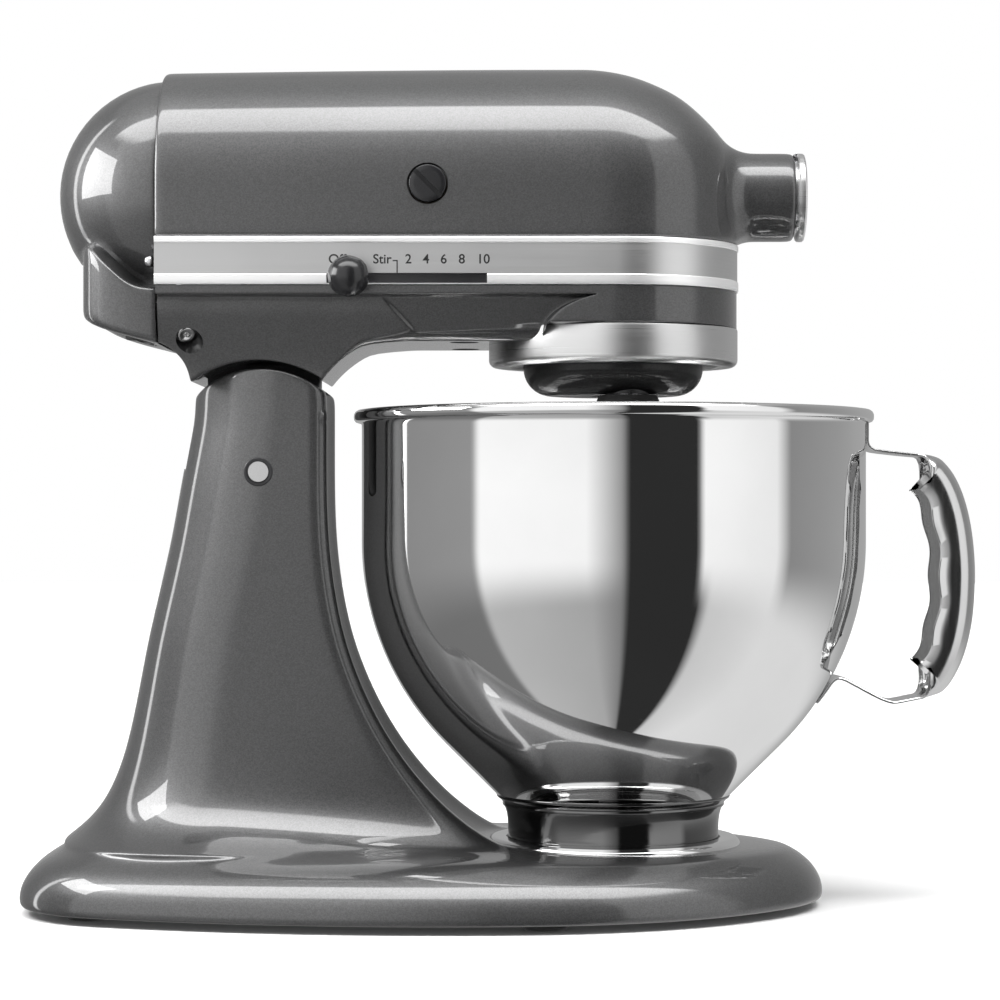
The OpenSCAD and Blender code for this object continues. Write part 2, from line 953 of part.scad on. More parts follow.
module drip_ring() {
  color([0.75, 0.75, 0.75])
    placed()
      rotate_extrude($fn = 180)
        difference() {
          translate([ring_seat_r + 4, nose_bottom - 16.3])
            square([head_r + 0.2 - ring_seat_r - 4, 16.3]);
          translate([head_r + 0.2 - 2, nose_bottom - 16.3])
            difference() {
              translate([0, -1])
                square([3, 3]);
              translate([0, 2])
                circle(2, $fn = 48);
            }
        }
}

// Involute gear outline. play_in narrows each tooth, add is the tooth height above
// the pitch circle and ded the depth below it.
pressure = 20;
function involute(base, r) =
  let (a = acos(min(1, base / r)))
  tan(a) * 180 / PI - a;
function tooth_half(n, m, r, thin) =
  let (pitch = n * m / 2, base = pitch * cos(pressure))
  90 / n - thin / pitch * 90 / PI
    + involute(base, pitch) - involute(base, max(base, r));
function gear_points(n, m, add, ded, thin) =
  let (pitch = n * m / 2, base = pitch * cos(pressure))
  let (r0 = pitch - ded, r1 = max(base, r0 + 0.01), r2 = pitch, r3 = pitch + add)
  [for (k = [0 : n - 1])
    for (p = [[r0, -1], [r1, -1], [r2, -1], [r3, -1], [r3, 1], [r2, 1], [r1, 1], [r0, 1]])
      let (a = 360 * k / n + p[1] * tooth_half(n, m, p[0], thin))
      p[0] * dir(a)];
module gear_flat(n, add, ded, thin) {
  polygon(gear_points(n, gear_module, add, ded, thin));
}

wheel_x = -40;
centre_teeth = 58;
wheel_y = sqrt(pow(gear_module * (centre_teeth + pinion_teeth) / 2, 2) - wheel_x * wheel_x);
planet_shaft_r = 6;
planet_bush_r = 8.5;
gear_z = nose_bottom + 18;
gear_h = 9;
armature_z = brush_z;
worm_r = wheel_y - wheel_r - gap;
armature_mid = -126;
armature_l = 48;
field_r = 43;
dish_top = nose_bottom - 13.5;
ring_z = nose_bottom - 11.5;
ring_h = 11;

module ring_gear() {
  color([0.5, 0.5, 0.5])
    placed()
      translate([0, 0, ring_z])
        difference() {
          cylinder(r = ring_seat_r - 0.02, h = ring_h + 0.5);
          translate([0, 0, -1])
            linear_extrude(ring_h)
              gear_flat(ring_teeth, 1.3 * gear_module, gear_module, -0.12);
          cylinder(r = 16, h = 60);
        }
}

// Planetary dish: a round pan with a hub for the drive shaft and a boss for the beater
module dish_outline() {
  difference() {
    translate([0, dish_bottom])
      square([dish_r, dish_top - dish_bottom]);
    translate([dish_r - 11, dish_bottom])
      difference() {
        translate([0, -1])
          square([12, 12]);
        translate([0, 11])
          circle(11);
      }
  }
}
module planetary_dish() {
  color([0.3, 0.3, 0.31])
    placed()
      difference() {
        union() {
          difference() {
            rotate_extrude()
              dish_outline();
            translate([0, 0, 4])
              intersection() {
                rotate_extrude()
                  dish_outline();
                cylinder(r = dish_r - 3, h = 400);
              }
          }
          translate([0, 0, dish_bottom + 2])
            cylinder(r = 12, h = dish_top - dish_bottom - 2);
          rotate([0, 0, beater_angle])
            translate([beater_offset, 0, dish_bottom + 1])
              cylinder(r = 12.5, h = dish_top - dish_bottom - 1);
        }
        translate([0, 0, dish_bottom + 3])
          cylinder(r = planet_shaft_r, h = 60);
        rotate([0, 0, beater_angle])
          translate([beater_offset, 0, 0])
            cylinder(r = beater_bush_r, h = 400);
        translate([0, 0, dish_bottom + 8])
          rotate([0, 0, beater_angle + 90])
            rotate([0, 90, 0])
              cylinder(r = 1.6, h = 80, center = true);
      }
}
beater_bush_r = 8.6;
module beater_bushing() {
  color([0.6, 0.5, 0.35])
    placed()
      rotate([0, 0, beater_angle])
        translate([beater_offset, 0, dish_bottom])
          difference() {
            cylinder(r = beater_bush_r, h = dish_top - dish_bottom);
            translate([0, 0, -1])
              cylinder(r = beater_shaft_r + play, h = 60);
          }
}
module planetary_pin() {
  color([0.6, 0.6, 0.6])
    placed()
      translate([0, 0, dish_bottom + 8])
        rotate([0, 0, beater_angle + 90])
          rotate([0, 90, 0])
            cylinder(r = 1.6, h = 26, center = true);
}
module planetary_shaft() {
  color([0.6, 0.6, 0.6])
    placed()
      difference() {
        translate([0, 0, dish_bottom + 3])
          cylinder(r = planet_shaft_r, h = head_axis_z - 18 - dish_bottom - 3);
        translate([0, 0, dish_bottom + 8])
          rotate([0, 0, beater_angle + 90])
            rotate([0, 90, 0])
              cylinder(r = 1.6, h = 30, center = true);
      }
}
module planetary_bushing() {
  color([0.6, 0.5, 0.35])
    placed()
      translate([0, 0, nose_bottom + 0.2])
        difference() {
          cylinder(r = planet_bush_r, h = 10.5);
          translate([0, 0, -1])
            cylinder(r = planet_shaft_r + play, h = 60);
        }
}
// The centre gear, turned so that a gap faces the tooth of the pinion
module centre_gear() {
  color([0.5, 0.5, 0.5])
    placed()
      translate([0, 0, gear_z])
        difference() {
          union() {
            rotate([0, 0, mesh_angle + 180 / centre_teeth])
              linear_extrude(gear_h)
                gear_flat(centre_teeth, gear_module, 1.25 * gear_module, 0.12);
            translate([0, 0, -2])
              cylinder(r = 11, h = gear_h + 4);
          }
          translate([0, 0, -5])
            cylinder(r = planet_shaft_r, h = 40);
          for (a = [0 : 60 : 300])
            rotate([0, 0, a])
              translate([22, 0, -1])
                cylinder(r = 6, h = 40);
        }
}
mesh_angle = atan2(wheel_y, wheel_x);
module wheel_shaft() {
  color([0.6, 0.6, 0.6])
    placed()
      translate([wheel_x, wheel_y, 0]) {
        translate([0, 0, nose_bottom + 1.3])
          cylinder(r = 4, h = armature_z + 14 - nose_bottom);
        translate([0, 0, gear_z])
          rotate([0, 0, mesh_angle + 180])
            linear_extrude(gear_h)
              gear_flat(pinion_teeth, gear_module, 1.25 * gear_module, 0.12);
      }
}
module worm_wheel() {
  color([0.7, 0.55, 0.3])
    placed()
      translate([wheel_x, wheel_y, armature_z - 5])
        difference() {
          union() {
            difference() {
              cylinder(r = wheel_r, h = 10);
              for (k = [0 : 27])
                rotate([0, 0, 360 * k / 28])
                  translate([wheel_r + 0.2, 0, 5])
                    rotate([6, 0, 0])
                      translate([0, 0, -8])
                        cylinder(r = 1.1, h = 16, $fn = 24);
            }
            translate([0, 0, -7])
              cylinder(r = 8, h = 20);
          }
          translate([0, 0, -20])
            cylinder(r = 4, h = 60);
        }
}
// Bevel pair between the planetary shaft and the attachment drive
bevel_r = 18;
module bevel(m) {
  difference() {
    union() {
      cylinder(r1 = bevel_r - m, r2 = bevel_r - m - 7, h = 7);
      translate([0, 0, -3])
        cylinder(r = bevel_r - m - 2, h = 3 + eps);
    }
    for (k = [0 : 17])
      rotate([0, 0, 20 * k])
        translate([bevel_r - m - 3.5, 0, 3.5])
          rotate([0, -45, 0])
            translate([-8, -0.8, 0])
              cube([16, 1.6, 3]);
    translate([0, 0, -10])
      cylinder(r = planet_shaft_r - 0.01, h = 40);
  }
}
module planetary_bevel() {
  color([0.5, 0.5, 0.5])
    placed()
      translate([0, 0, head_axis_z - bevel_r])
        difference() {
          bevel(0.4);
          cylinder(r = planet_shaft_r, h = 60, center = true);
        }
}
module hub_bevel() {
  color([0.5, 0.5, 0.5])
    placed()
      translate([bevel_r, 0, head_axis_z])
        rotate([0, -90, 0])
          bevel(0.4);
}
module hub_shaft() {
  color([0.6, 0.6, 0.6])
    placed()
      translate([bevel_r - 4, 0, head_axis_z])
        rotate([0, 90, 0])
          difference() {
            union() {
              cylinder(r = planet_shaft_r - 0.01, h = 12);
              translate([0, 0, 7.2])
                cylinder(r = 7.4, h = socket_floor - 0.5 - bevel_r + 4 - 7.2);
            }
            translate([-4, -4, socket_floor - bevel_r + 4 - 12])
              cube([8, 8, 20]);
          }
}
module hub_bushing() {
  color([0.6, 0.5, 0.35])
    placed()
      translate([hub_inner, 0, head_axis_z])
        rotate([0, 90, 0])
          difference() {
            cylinder(r = hub_bush_r, h = socket_floor - hub_inner);
            translate([0, 0, -1])
              cylinder(r = 7.4 + play, h = 60);
          }
}

module beater_shaft() {
  color([0.78, 0.78, 0.79])
    placed()
      rotate([0, 0, beater_angle])
        translate([beater_offset, 0, 0])
          difference() {
            translate([0, 0, dish_bottom - 44])
              cylinder(r = beater_shaft_r, h = dish_top - dish_bottom + 44.3);
            // turned down round the cross pin
            translate([0, 0, dish_bottom - 33.2])
              difference() {
                cylinder(r = beater_shaft_r + 2, h = 6.4);
                translate([0, 0, -1])
                  cylinder(r = beater_shaft_r - 0.7, h = 9);
              }
            translate([0, 0, dish_bottom - 30])
              rotate([90, 0, 0])
                cylinder(r = 2, h = 40, center = true);
            translate([0, 0, dish_bottom - 44])
              difference() {
                cylinder(r = 12, h = 1.5);
                cylinder(r1 = beater_shaft_r - 1.5, r2 = beater_shaft_r, h = 1.5);
              }
          }
}
module beater_pin() {
  color([0.7, 0.7, 0.7])
    placed()
      rotate([0, 0, beater_angle])
        translate([beater_offset, 0, dish_bottom - 30])
          rotate([90, 0, 0])
            cylinder(r = 2, h = 20, center = true);
}
module beater_collar() {
  color([0.15, 0.15, 0.15])
    placed()
      rotate([0, 0, beater_angle])
        translate([beater_offset, 0, dish_bottom - 0.4])
          mirror([0, 0, 1])
            rotate_extrude()
              difference() {
                polygon([
                  [beater_shaft_r, 0],
                  [12, 0],
                  [13, 2],
                  [13, 5],
                  [9, 8],
                  [beater_shaft_r, 8]]);
              }
}
module beater_pinion() {
  color([0.5, 0.5, 0.5])
    placed()
      rotate([0, 0, beater_angle])
        translate([beater_offset, 0, 0]) {
          translate([0, 0, ring_z + 0.8])
            rotate([0, 0, pinion_turn])
              linear_extrude(ring_h - 3)
                gear_flat(pinion_teeth, gear_module, 1.2 * gear_module, 0.12);
          // stem down to the shaft
          translate([0, 0, dish_top + 0.3])
            cylinder(r = beater_shaft_r - 0.2, h = ring_z - dish_top + 1);
        }
}
// A gap of the ring at the angle of the pinion takes one of the pinion's teeth
ring_step = 360 / ring_teeth;
pinion_turn = (round(beater_angle / ring_step) * ring_step - beater_angle)
  * ring_teeth / pinion_teeth;

// Motor: everything that turns lies on one axis
module on_motor(x) {
  translate([x, 0, armature_z])
    rotate([0, 90, 0])
      children();
}
module armature_shaft() {
  color([0.65, 0.65, 0.65])
    placed()
      union() {
        on_motor(-190)
          cylinder(r = 4, h = 168);
        // worm thread
        on_motor(wheel_x - 14)
          rotate_extrude()
            difference() {
              square([worm_r, 28]);
              for (k = [0 : 5])
                translate([worm_r + 0.4, 2.8 + 4.5 * k])
                  rotate(45)
                    square(2.2, center = true);
            }
      }
}
module armature_core() {
  color([0.45, 0.45, 0.47])
    placed()
      on_motor(armature_mid - armature_l / 2)
        difference() {
          cylinder(r = armature_r, h = armature_l);
          for (k = [0 : 13])
            rotate([0, 0, 360 * k / 14])
              translate([armature_r - 7, -1.6, -1])
                cube([12, 3.2, armature_l + 2]);
          translate([0, 0, -1])
            cylinder(r = 4, h = armature_l + 2);
        }
}
module armature_windings() {
  color([0.72, 0.42, 0.25])
    placed()
      for (x = [armature_mid - armature_l / 2 - 8, armature_mid + armature_l / 2])
        on_motor(x)
          rotate_extrude()
            difference() {
              translate([4, 0])
                square([armature_r - 10, 8]);
              for (z = [0, 8])
                translate([armature_r - 6, z])
                  rotate(45)
                    square(4, center = true);
            }
}
module commutator() {
  color([0.75, 0.45, 0.27])
    placed()
      on_motor(brush_x - 8)
        difference() {
          cylinder(r = 12, h = 16);
          for (k = [0 : 23])
            rotate([0, 0, 15 * k])
              translate([11, -0.4, -1])
                cube([4, 0.8, 20]);
          translate([0, 0, -1])
            cylinder(r = 4, h = 20);
        }
}
module cooling_fan() {
  color([0.15, 0.15, 0.15])
    placed()
      on_motor(-172)
        difference() {
          union() {
            cylinder(r = 9, h = 10);
            cylinder(r = 30, h = 1.6);
            for (k = [0 : 8])
              rotate([0, 0, 40 * k])
                translate([8, -0.8, 0])
                  cube([22, 1.6, 9]);
          }
          translate([0, 0, -1])
            cylinder(r = 4, h = 20);
        }
}
module governor() {
  color([0.6, 0.6, 0.62])
    placed()
      on_motor(-191)
        difference() {
          union() {
            cylinder(r = 7, h = 8);
            for (k = [0, 1])
              rotate([0, 0, 180 * k])
                translate([6, -4, 2])
                  cube([10, 8, 4]);
          }
          translate([0, 0, 1])
            cylinder(r = 4, h = 20);
        }
}
module motor_field() {
  color([0.4, 0.4, 0.42])
    placed()
      on_motor(armature_mid - armature_l / 2 + 2)
        difference() {
          union() {
            cylinder(r = field_r, h = armature_l - 4);
            for (k = [-1, 1])
              translate([0, 34 * k, (armature_l - 4) / 2])
                cube([40, 14, armature_l - 4], center = true);
          }
          translate([0, 0, -1])
            cylinder(r = armature_r + 0.8, h = armature_l);
          for (k = [-1, 1])
            translate([armature_r * k, 0, armature_l / 2])
              cube([14, 34, armature_l + 4], center = true);
          for (k = [-1, 1])
            translate([0, 37 * k, -1])
              cylinder(r = 2.2, h = armature_l + 2);
        }
}
module field_windings() {
  color([0.7, 0.4, 0.24])
    placed()
      for (x = [armature_mid - armature_l / 2 - 8, armature_mid + armature_l / 2 - 2])
        on_motor(x)
          difference() {
            rotate_extrude()
              translate([armature_r + 2, 0])
                square([10, 10]);
            for (k = [-1, 1])
              translate([0, 37 * k, -1])
                cylinder(r = 4, h = 14);
          }
}
// Rear bearing bracket: a bar across the head with the bearing in its middle
module bearing_bracket() {
  color([0.55, 0.55, 0.56])
    placed()
      difference() {
        union() {
          translate([-181, -46, armature_z - 9])
            cube([4, 92, 18]);
          on_motor(-182)
            cylinder(r = 12, h = 6);
          for (k = [-1, 1])
            translate([-181, 46 * k - 1.5, armature_z - 9])
              cube([14, 3, 18]);
        }
        on_motor(-190)
          cylinder(r = 7, h = 30);
      }
}
module rear_bearing() {
  color([0.6, 0.5, 0.35])
    placed()
      on_motor(-182)
        difference() {
          cylinder(r = 7, h = 6);
          translate([0, 0, -1])
            cylinder(r = 4 + play, h = 12);
        }
}
// Gear bracket: one casting that holds the front bearing and the wheel shaft
bracket_x = wheel_x - 22;
module gear_bracket() {
  color([0.55, 0.55, 0.56])
    placed()
      difference() {
        union() {
          translate([bracket_x - 4, -40, nose_bottom + 5])
            cube([4, 80, armature_z + 16 - nose_bottom - 5]);
          on_motor(bracket_x - 5)
            cylinder(r = 10, h = 7);
          translate([bracket_x - 1, 4, armature_z + 10])
            cube([36, 34, 4]);
          translate([wheel_x, wheel_y, armature_z + 9])
            cylinder(r = 8, h = 7);
        }
        on_motor(bracket_x - 10)
          cylinder(r = 6.5, h = 30);
        translate([wheel_x, wheel_y, armature_z])
          cylinder(r = 4 + play, h = 40);
      }
}
module front_bearing() {
  color([0.6, 0.5, 0.35])
    placed()
      on_motor(bracket_x - 5)
        difference() {
          cylinder(r = 6.5, h = 7);
          translate([0, 0, -1])
            cylinder(r = 4 + play, h = 12);
        }
}
brush_in = 12.4;
brush_out = head_r - 4.6;
module brush_holders() {
  color([0.2, 0.16, 0.12])
    placed()
      for (side = [-1, 1])
        translate([brush_x, 0, brush_z])
          rotate([-90 * side, 0, 0])
            difference() {
              union() {
                translate([0, 0, 17])
                  cylinder(r = 6.5, h = brush_out - 17);
                translate([0, 0, brush_out - 5])
                  cylinder(r = brush_cap_r + 0.2, h = 5);
              }
              translate([-3, -4, 0])
                cube([6, 8, brush_out - 2]);
            }
}
module carbon_brushes() {
  color([0.12, 0.12, 0.12])
    placed()
      for (side = [-1, 1])
        translate([brush_x, 0, brush_z])
          rotate([-90 * side, 0, 0])
            translate([-3, -4, brush_in])
              cube([6, 8, 17]);
}
module brush_caps() {
  color([0.08, 0.08, 0.08])
    placed()
      for (side = [-1, 1])
        translate([brush_x, 0, brush_z])
          rotate([-90 * side, 0, 0])
            difference() {
              translate([0, 0, brush_out])
                cylinder(r = brush_cap_r, h = head_r + 0.3 - brush_out);
              rotate([0, 0, 45])
                translate([-6, -0.8, head_r - 1])
                  cube([12, 1.6, 4]);
            }
}
module control_plate() {
  color([0.5, 0.4, 0.28])
    placed()
      difference() {
        union() {
          translate([-200, -30, armature_z - 16])
            cube([1.6, 60, 32]);
          for (k = [-1, 1])
            translate([0, 26 * k, 0])
              on_motor(-199)
                cylinder(r = 3, h = 18);
        }
        on_motor(-201)
          cylinder(r = 5, h = 10);
        translate([-203, -25, armature_z])
          rotate([0, 90, 0])
            cylinder(r = 2, h = 10);
        translate([cap_screw_x, 0, cap_screw_z])
          cube([60, 12, 12], center = true);
      }
}

// Bowl: a straight wall, one long curve, a cone and a foot, all in sheet
cone_z = bowl_knuckle_z - bowl_curve_r * sin(45);
cone_r = bowl_r - bowl_curve_r * (1 - cos(45));
foot_z = plate_floor_z + gap;
cone_end_z = cone_z - (cone_r - bowl_foot_r - 2);
// Bowl wall from the middle of the floor up to the rim, drawn in by t
function bowl_side(t) = concat(
  [for (k = [0 : 6])
    let (a = 90 - k / 6 * (90 - asin((34 + t) / (40 + t))))
    (40 + t) * dir(a) + [0, cone_end_z - 36]],
  [[bowl_foot_r - 3 - t, cone_end_z - 2 + t],
  [bowl_foot_r + 2 - t * 0.7071, cone_end_z + t * 0.7071]],
  [for (s = [0 : 30])
    let (a = 45 * (1 - s / 30))
    [bowl_r - bowl_curve_r, bowl_knuckle_z] + (bowl_curve_r - t) * [cos(a), -sin(a)]],
  [[bowl_r - t, bowl_rim_z - bowl_bead_r]]);
module bowl_outline(t) {
  polygon(concat(bowl_side(t), [[0, bowl_rim_z - bowl_bead_r]]));
}
module bowl_shell() {
  outer = bowl_side(0);
  inner = bowl_side(bowl_wall);
  color([0.8, 0.8, 0.8])
    placed()
      rotate_extrude($fn = 200) {
        polygon(concat(outer, [for (k = [len(inner) - 1 : -1 : 0]) inner[k]]));
        translate([bowl_r + 3.4 - bowl_bead_r, bowl_rim_z - bowl_bead_r])
          circle(bowl_bead_r, $fn = 48);
        translate([bowl_r - bowl_wall, bowl_rim_z - bowl_bead_r - 2])
          square([bowl_wall + 0.8, 2.2]);
      }
}
// height of the bowl's bottom above the foot ring at a radius
function foot_top(r) = cone_end_z - 2 + (r - bowl_foot_r + 3) * 2 / 5;
module bowl_foot() {
  color([0.8, 0.8, 0.8])
    placed() {
      rotate_extrude($fn = 160)
        polygon([
          [bowl_foot_r - 1.6, foot_z],
          [bowl_foot_r, foot_z],
          [bowl_foot_r, foot_top(bowl_foot_r) - 3],
          [bowl_foot_r + 0.5, foot_top(bowl_foot_r) - 2.4],
          [bowl_foot_r + 0.5, foot_top(bowl_foot_r) - 1.2],
          [bowl_foot_r, foot_top(bowl_foot_r) - 0.6],
          [bowl_foot_r, foot_top(bowl_foot_r)],
          [bowl_foot_r - 1.6, foot_top(bowl_foot_r - 1.6)]]);
      for (k = [0 : lug_count - 1])
        ring_sector(bowl_foot_r - 0.8, lug_out, foot_z + 0.2, 1.6, 90 * k, lug_angle);
    }
}

// Handle: a strap from wall to wall with a channel-shaped grip
grip_cx = handle_reach - handle_curve_r;
grip_cz = 139.3;
grip_top = grip_cz + 49;
grip_low = grip_cz - 49.5;
grip_sheet = 1.5;
module grip_band() {
  // the long outer curve of the grip
  intersection() {
    difference() {
      translate([grip_cx, grip_cz])
        circle(handle_curve_r, $fn = 360);
      translate([grip_cx, grip_cz])
        circle(handle_curve_r - grip_sheet, $fn = 360);
    }
    translate([grip_cx + 40, grip_low])
      square([100, grip_top - grip_low]);
  }
}
module grip_cheek() {
  difference() {
    intersection() {
      translate([grip_cx, grip_cz])
        circle(handle_curve_r, $fn = 360);
      translate([handle_reach - 21, grip_low])
        square([30, grip_top - grip_low]);
    }
    // finger notches
    for (z = [grip_cz + 26, grip_cz + 2, grip_cz - 24])
      translate([handle_reach - 27, z])
        circle(12.6, $fn = 64);
    translate([handle_reach - 30, grip_top - 11])
      circle(14, $fn = 64);
    translate([handle_reach - 30, grip_low + 10])
      circle(13, $fn = 64);
  }
}
// A straight piece of strap between two points
module strap_run(p, q) {
  d = q - p;
  translate(p)
    rotate(atan2(d[1], d[0]))
      translate([0, -grip_sheet])
        square([norm(d), grip_sheet]);
}
wall_low_r = bowl_r - bowl_curve_r + sqrt(pow(bowl_curve_r, 2) - pow(bowl_knuckle_z - 97, 2));
module bowl_handle() {
  color([0.8, 0.8, 0.8])
    placed() {
      side_slab(grip_w)
        grip_band();
      for (side = [-1, 1])
        translate([0, side * (grip_w / 2 - 0.75), 0])
          side_slab(1.5)
            grip_cheek();
      difference() {
        side_slab(strap_w) {
          strap_run([bowl_r - 1, 193], [handle_reach - 13, grip_top + 0.7]);
          strap_run([handle_reach - 12.4, grip_low], [wall_low_r + 18, 86.5]);
          strap_run([wall_low_r + 18.3, 85.6], [wall_low_r - 4, 98]);
        }
        // the strap ends follow the wall
        rotate_extrude($fn = 200)
          bowl_outline(0);
      }
      // tabs that lie against the wall
      intersection() {
        rotate_extrude($fn = 200)
          difference() {
            bowl_outline(-grip_sheet);
            bowl_outline(0);
          }
        side_slab(strap_w) {
          translate([80, 191.6])
            square([40, 13.2]);
          translate([70, 84])
            square([40, 14]);
        }
        translate([50, -50, 0])
          cube([100, 100, 300]);
      }
    }
}

base_casting();
column_casting();
base_screws();
bowl_clamp_plate();
clamp_plate_screws();
rubber_feet();
hinge_pin();
lock_lever();
lock_pin();
upper_housing();
lower_housing();
end_cap();
end_cap_screw();
cord_gland();
housing_screws_set();
trim_band();
speed_lever();
speed_knob();
hub_cover();
hub_cover_pin();
attachment_knob();
drip_ring();
ring_gear();
planetary_bushing();
hub_bushing();
brush_holders();
carbon_brushes();
brush_caps();
motor_field();
field_windings();
bearing_bracket();
rear_bearing();
gear_bracket();
front_bearing();
control_plate();
armature_shaft();
armature_core();
armature_windings();
commutator();
cooling_fan();
governor();
wheel_shaft();
worm_wheel();
planetary_dish();
planetary_pin();
planetary_shaft();
centre_gear();
planetary_bevel();
beater_bushing();
beater_shaft();
beater_pin();
beater_collar();
beater_pinion();
hub_bevel();
hub_shaft();
bowl_shell();
bowl_foot();
bowl_handle();
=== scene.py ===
import math
import bmesh
import bpy
from bpy.props import FloatProperty, FloatVectorProperty, IntProperty, PointerProperty
from mathutils import Matrix, Vector
from mathutils.bvhtree import BVHTree


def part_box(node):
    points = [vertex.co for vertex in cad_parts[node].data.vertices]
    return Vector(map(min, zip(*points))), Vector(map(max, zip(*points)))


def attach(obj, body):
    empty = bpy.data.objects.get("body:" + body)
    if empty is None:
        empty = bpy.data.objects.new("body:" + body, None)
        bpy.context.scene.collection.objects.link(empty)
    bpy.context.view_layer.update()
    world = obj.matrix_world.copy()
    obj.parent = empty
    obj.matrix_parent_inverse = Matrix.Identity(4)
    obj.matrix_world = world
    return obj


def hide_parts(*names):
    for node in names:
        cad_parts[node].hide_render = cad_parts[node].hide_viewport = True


bl_info = {
    "name": "Stand mixer dressing",
    "version": (1, 0, 0),
    "blender": (4, 5, 0),
    "location": "3D View > Sidebar > Mixer",
    "description": "Builds the cast shells, trim, bowl and finishes of a tilt-head stand mixer",
    "category": "Object",
}

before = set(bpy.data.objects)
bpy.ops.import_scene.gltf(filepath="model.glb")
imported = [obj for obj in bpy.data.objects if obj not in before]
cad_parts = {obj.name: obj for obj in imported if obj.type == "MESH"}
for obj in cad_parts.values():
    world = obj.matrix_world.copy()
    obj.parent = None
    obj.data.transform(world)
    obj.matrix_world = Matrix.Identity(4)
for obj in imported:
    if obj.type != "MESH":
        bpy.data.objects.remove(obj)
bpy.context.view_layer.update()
RING_LOW, RING_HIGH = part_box("drip_ring")
# The bowl axis, round which all sizes below are given in millimetres
AXIS_X = (RING_LOW[0] + RING_HIGH[0]) / 2


def at(x, y, z):
    """A point given in millimetres from the bowl axis and the table."""
    return Vector((AXIS_X + x * 0.001, y * 0.001, z * 0.001))


# ---------------------------------------------------------------- sizes and colours

class MixerSizes(bpy.types.PropertyGroup):
    head_radius: FloatProperty(
        name="Head radius", description="Half the width of the motor head",
        default=0.0526, min=0.045, max=0.06, unit='LENGTH')
    head_top: FloatProperty(
        name="Head top", description="Height of the head above the table",
        default=0.354, min=0.34, max=0.354, unit='LENGTH')
    column_half: FloatProperty(
        name="Column half width", description="Half the width of the upright",
        default=0.037, min=0.034, max=0.039, unit='LENGTH')
    bowl_radius: FloatProperty(
        name="Bowl radius", description="Outer radius of the bowl's straight wall",
        default=0.1068, min=0.1, max=0.108, unit='LENGTH')
    grip_width: FloatProperty(
        name="Grip width", description="Width of the bowl handle's grip",
        default=0.034, min=0.03, max=0.034, unit='LENGTH')
    hub_radius: FloatProperty(
        name="Hub radius", description="Radius of the attachment hub",
        default=0.0187, min=0.017, max=0.0187, unit='LENGTH')
    smoothing: IntProperty(
        name="Smoothing", description="Subdivision levels of the cast shells",
        default=2, min=1, max=3)


class MixerColours(bpy.types.PropertyGroup):
    paint: FloatVectorProperty(
        name="Paint", description="Mid tone of the metallic paint",
        default=(0.085, 0.085, 0.086), size=3, min=0, max=1, subtype='COLOR')
    steel: FloatVectorProperty(
        name="Steel", description="Polished stainless steel",
        default=(0.82, 0.82, 0.82), size=3, min=0, max=1, subtype='COLOR')
    satin: FloatVectorProperty(
        name="Satin metal", description="Brushed band and drip ring",
        default=(0.72, 0.72, 0.72), size=3, min=0, max=1, subtype='COLOR')
    plastic: FloatVectorProperty(
        name="Black plastic", description="Knobs and brush caps",
        default=(0.012, 0.012, 0.013), size=3, min=0, max=1, subtype='COLOR')


# ---------------------------------------------------------------- node helpers

def link(tree, a, b):
    tree.links.new(a, b)


def node(tree, kind, x, y, **values):
    """A shader node at a place in the tree; keywords set its plain attributes."""
    n = tree.nodes.new(kind)
    n.location = (x, y)
    for key, value in values.items():
        setattr(n, key, value)
    return n


def preset(n, **values):
    """Plain values for a node's inputs; an underscore stands for a space."""
    for label, value in values.items():
        n.inputs[label.replace("_", " ")].default_value = value


def effect(name, inputs, outputs):
    """An empty shader node group with named sockets."""
    tree = bpy.data.node_groups.new(name, 'ShaderNodeTree')
    for label, kind, default in inputs:
        s = tree.interface.new_socket(name=label, in_out='INPUT', socket_type=kind)
        if default is not None:
            s.default_value = default
    for label, kind in outputs:
        tree.interface.new_socket(name=label, in_out='OUTPUT', socket_type=kind)
    return tree, node(tree, 'NodeGroupInput', -900, 0), node(tree, 'NodeGroupOutput', 700, 0)


def flake_effect():
    """Metallic flake: tiny cells that tilt and lighten the paint."""
    tree, gin, gout = effect(
        "Paint flake",
        [("Vector", 'NodeSocketVector', None), ("Scale", 'NodeSocketFloat', 2600.0),
         ("Spread", 'NodeSocketFloat', 0.4)],
        [("Tone", 'NodeSocketFloat'), ("Height", 'NodeSocketFloat')])
    cells = node(tree, 'ShaderNodeTexVoronoi', -600, 120)
    haze = node(tree, 'ShaderNodeTexNoise', -600, -200)
    preset(haze, Scale=14.0, Detail=3.0)
    grey = node(tree, 'ShaderNodeSeparateColor', -380, 120)
    tone = node(tree, 'ShaderNodeMapRange', -160, 160)
    preset(tone, To_Min=-1.0, To_Max=1.0)
    scaled = node(tree, 'ShaderNodeMath', 60, 160, operation='MULTIPLY')
    soft = node(tree, 'ShaderNodeMapRange', -160, -200)
    preset(soft, From_Min=0.3, From_Max=0.7, To_Min=0.95, To_Max=1.05)
    total = node(tree, 'ShaderNodeMath', 280, 100, operation='ADD')
    link(tree, gin.outputs['Vector'], cells.inputs['Vector'])
    link(tree, gin.outputs['Scale'], cells.inputs['Scale'])
    link(tree, gin.outputs['Vector'], haze.inputs['Vector'])
    link(tree, cells.outputs['Color'], grey.inputs['Color'])
    link(tree, grey.outputs[0], tone.inputs['Value'])
    link(tree, tone.outputs[0], scaled.inputs[0])
    link(tree, gin.outputs['Spread'], scaled.inputs[1])
    link(tree, haze.outputs[0], soft.inputs['Value'])
    link(tree, scaled.outputs[0], total.inputs[0])
    link(tree, soft.outputs[0], total.inputs[1])
    link(tree, total.outputs[0], gout.inputs['Tone'])
    link(tree, grey.outputs[1], gout.inputs['Height'])
    return tree


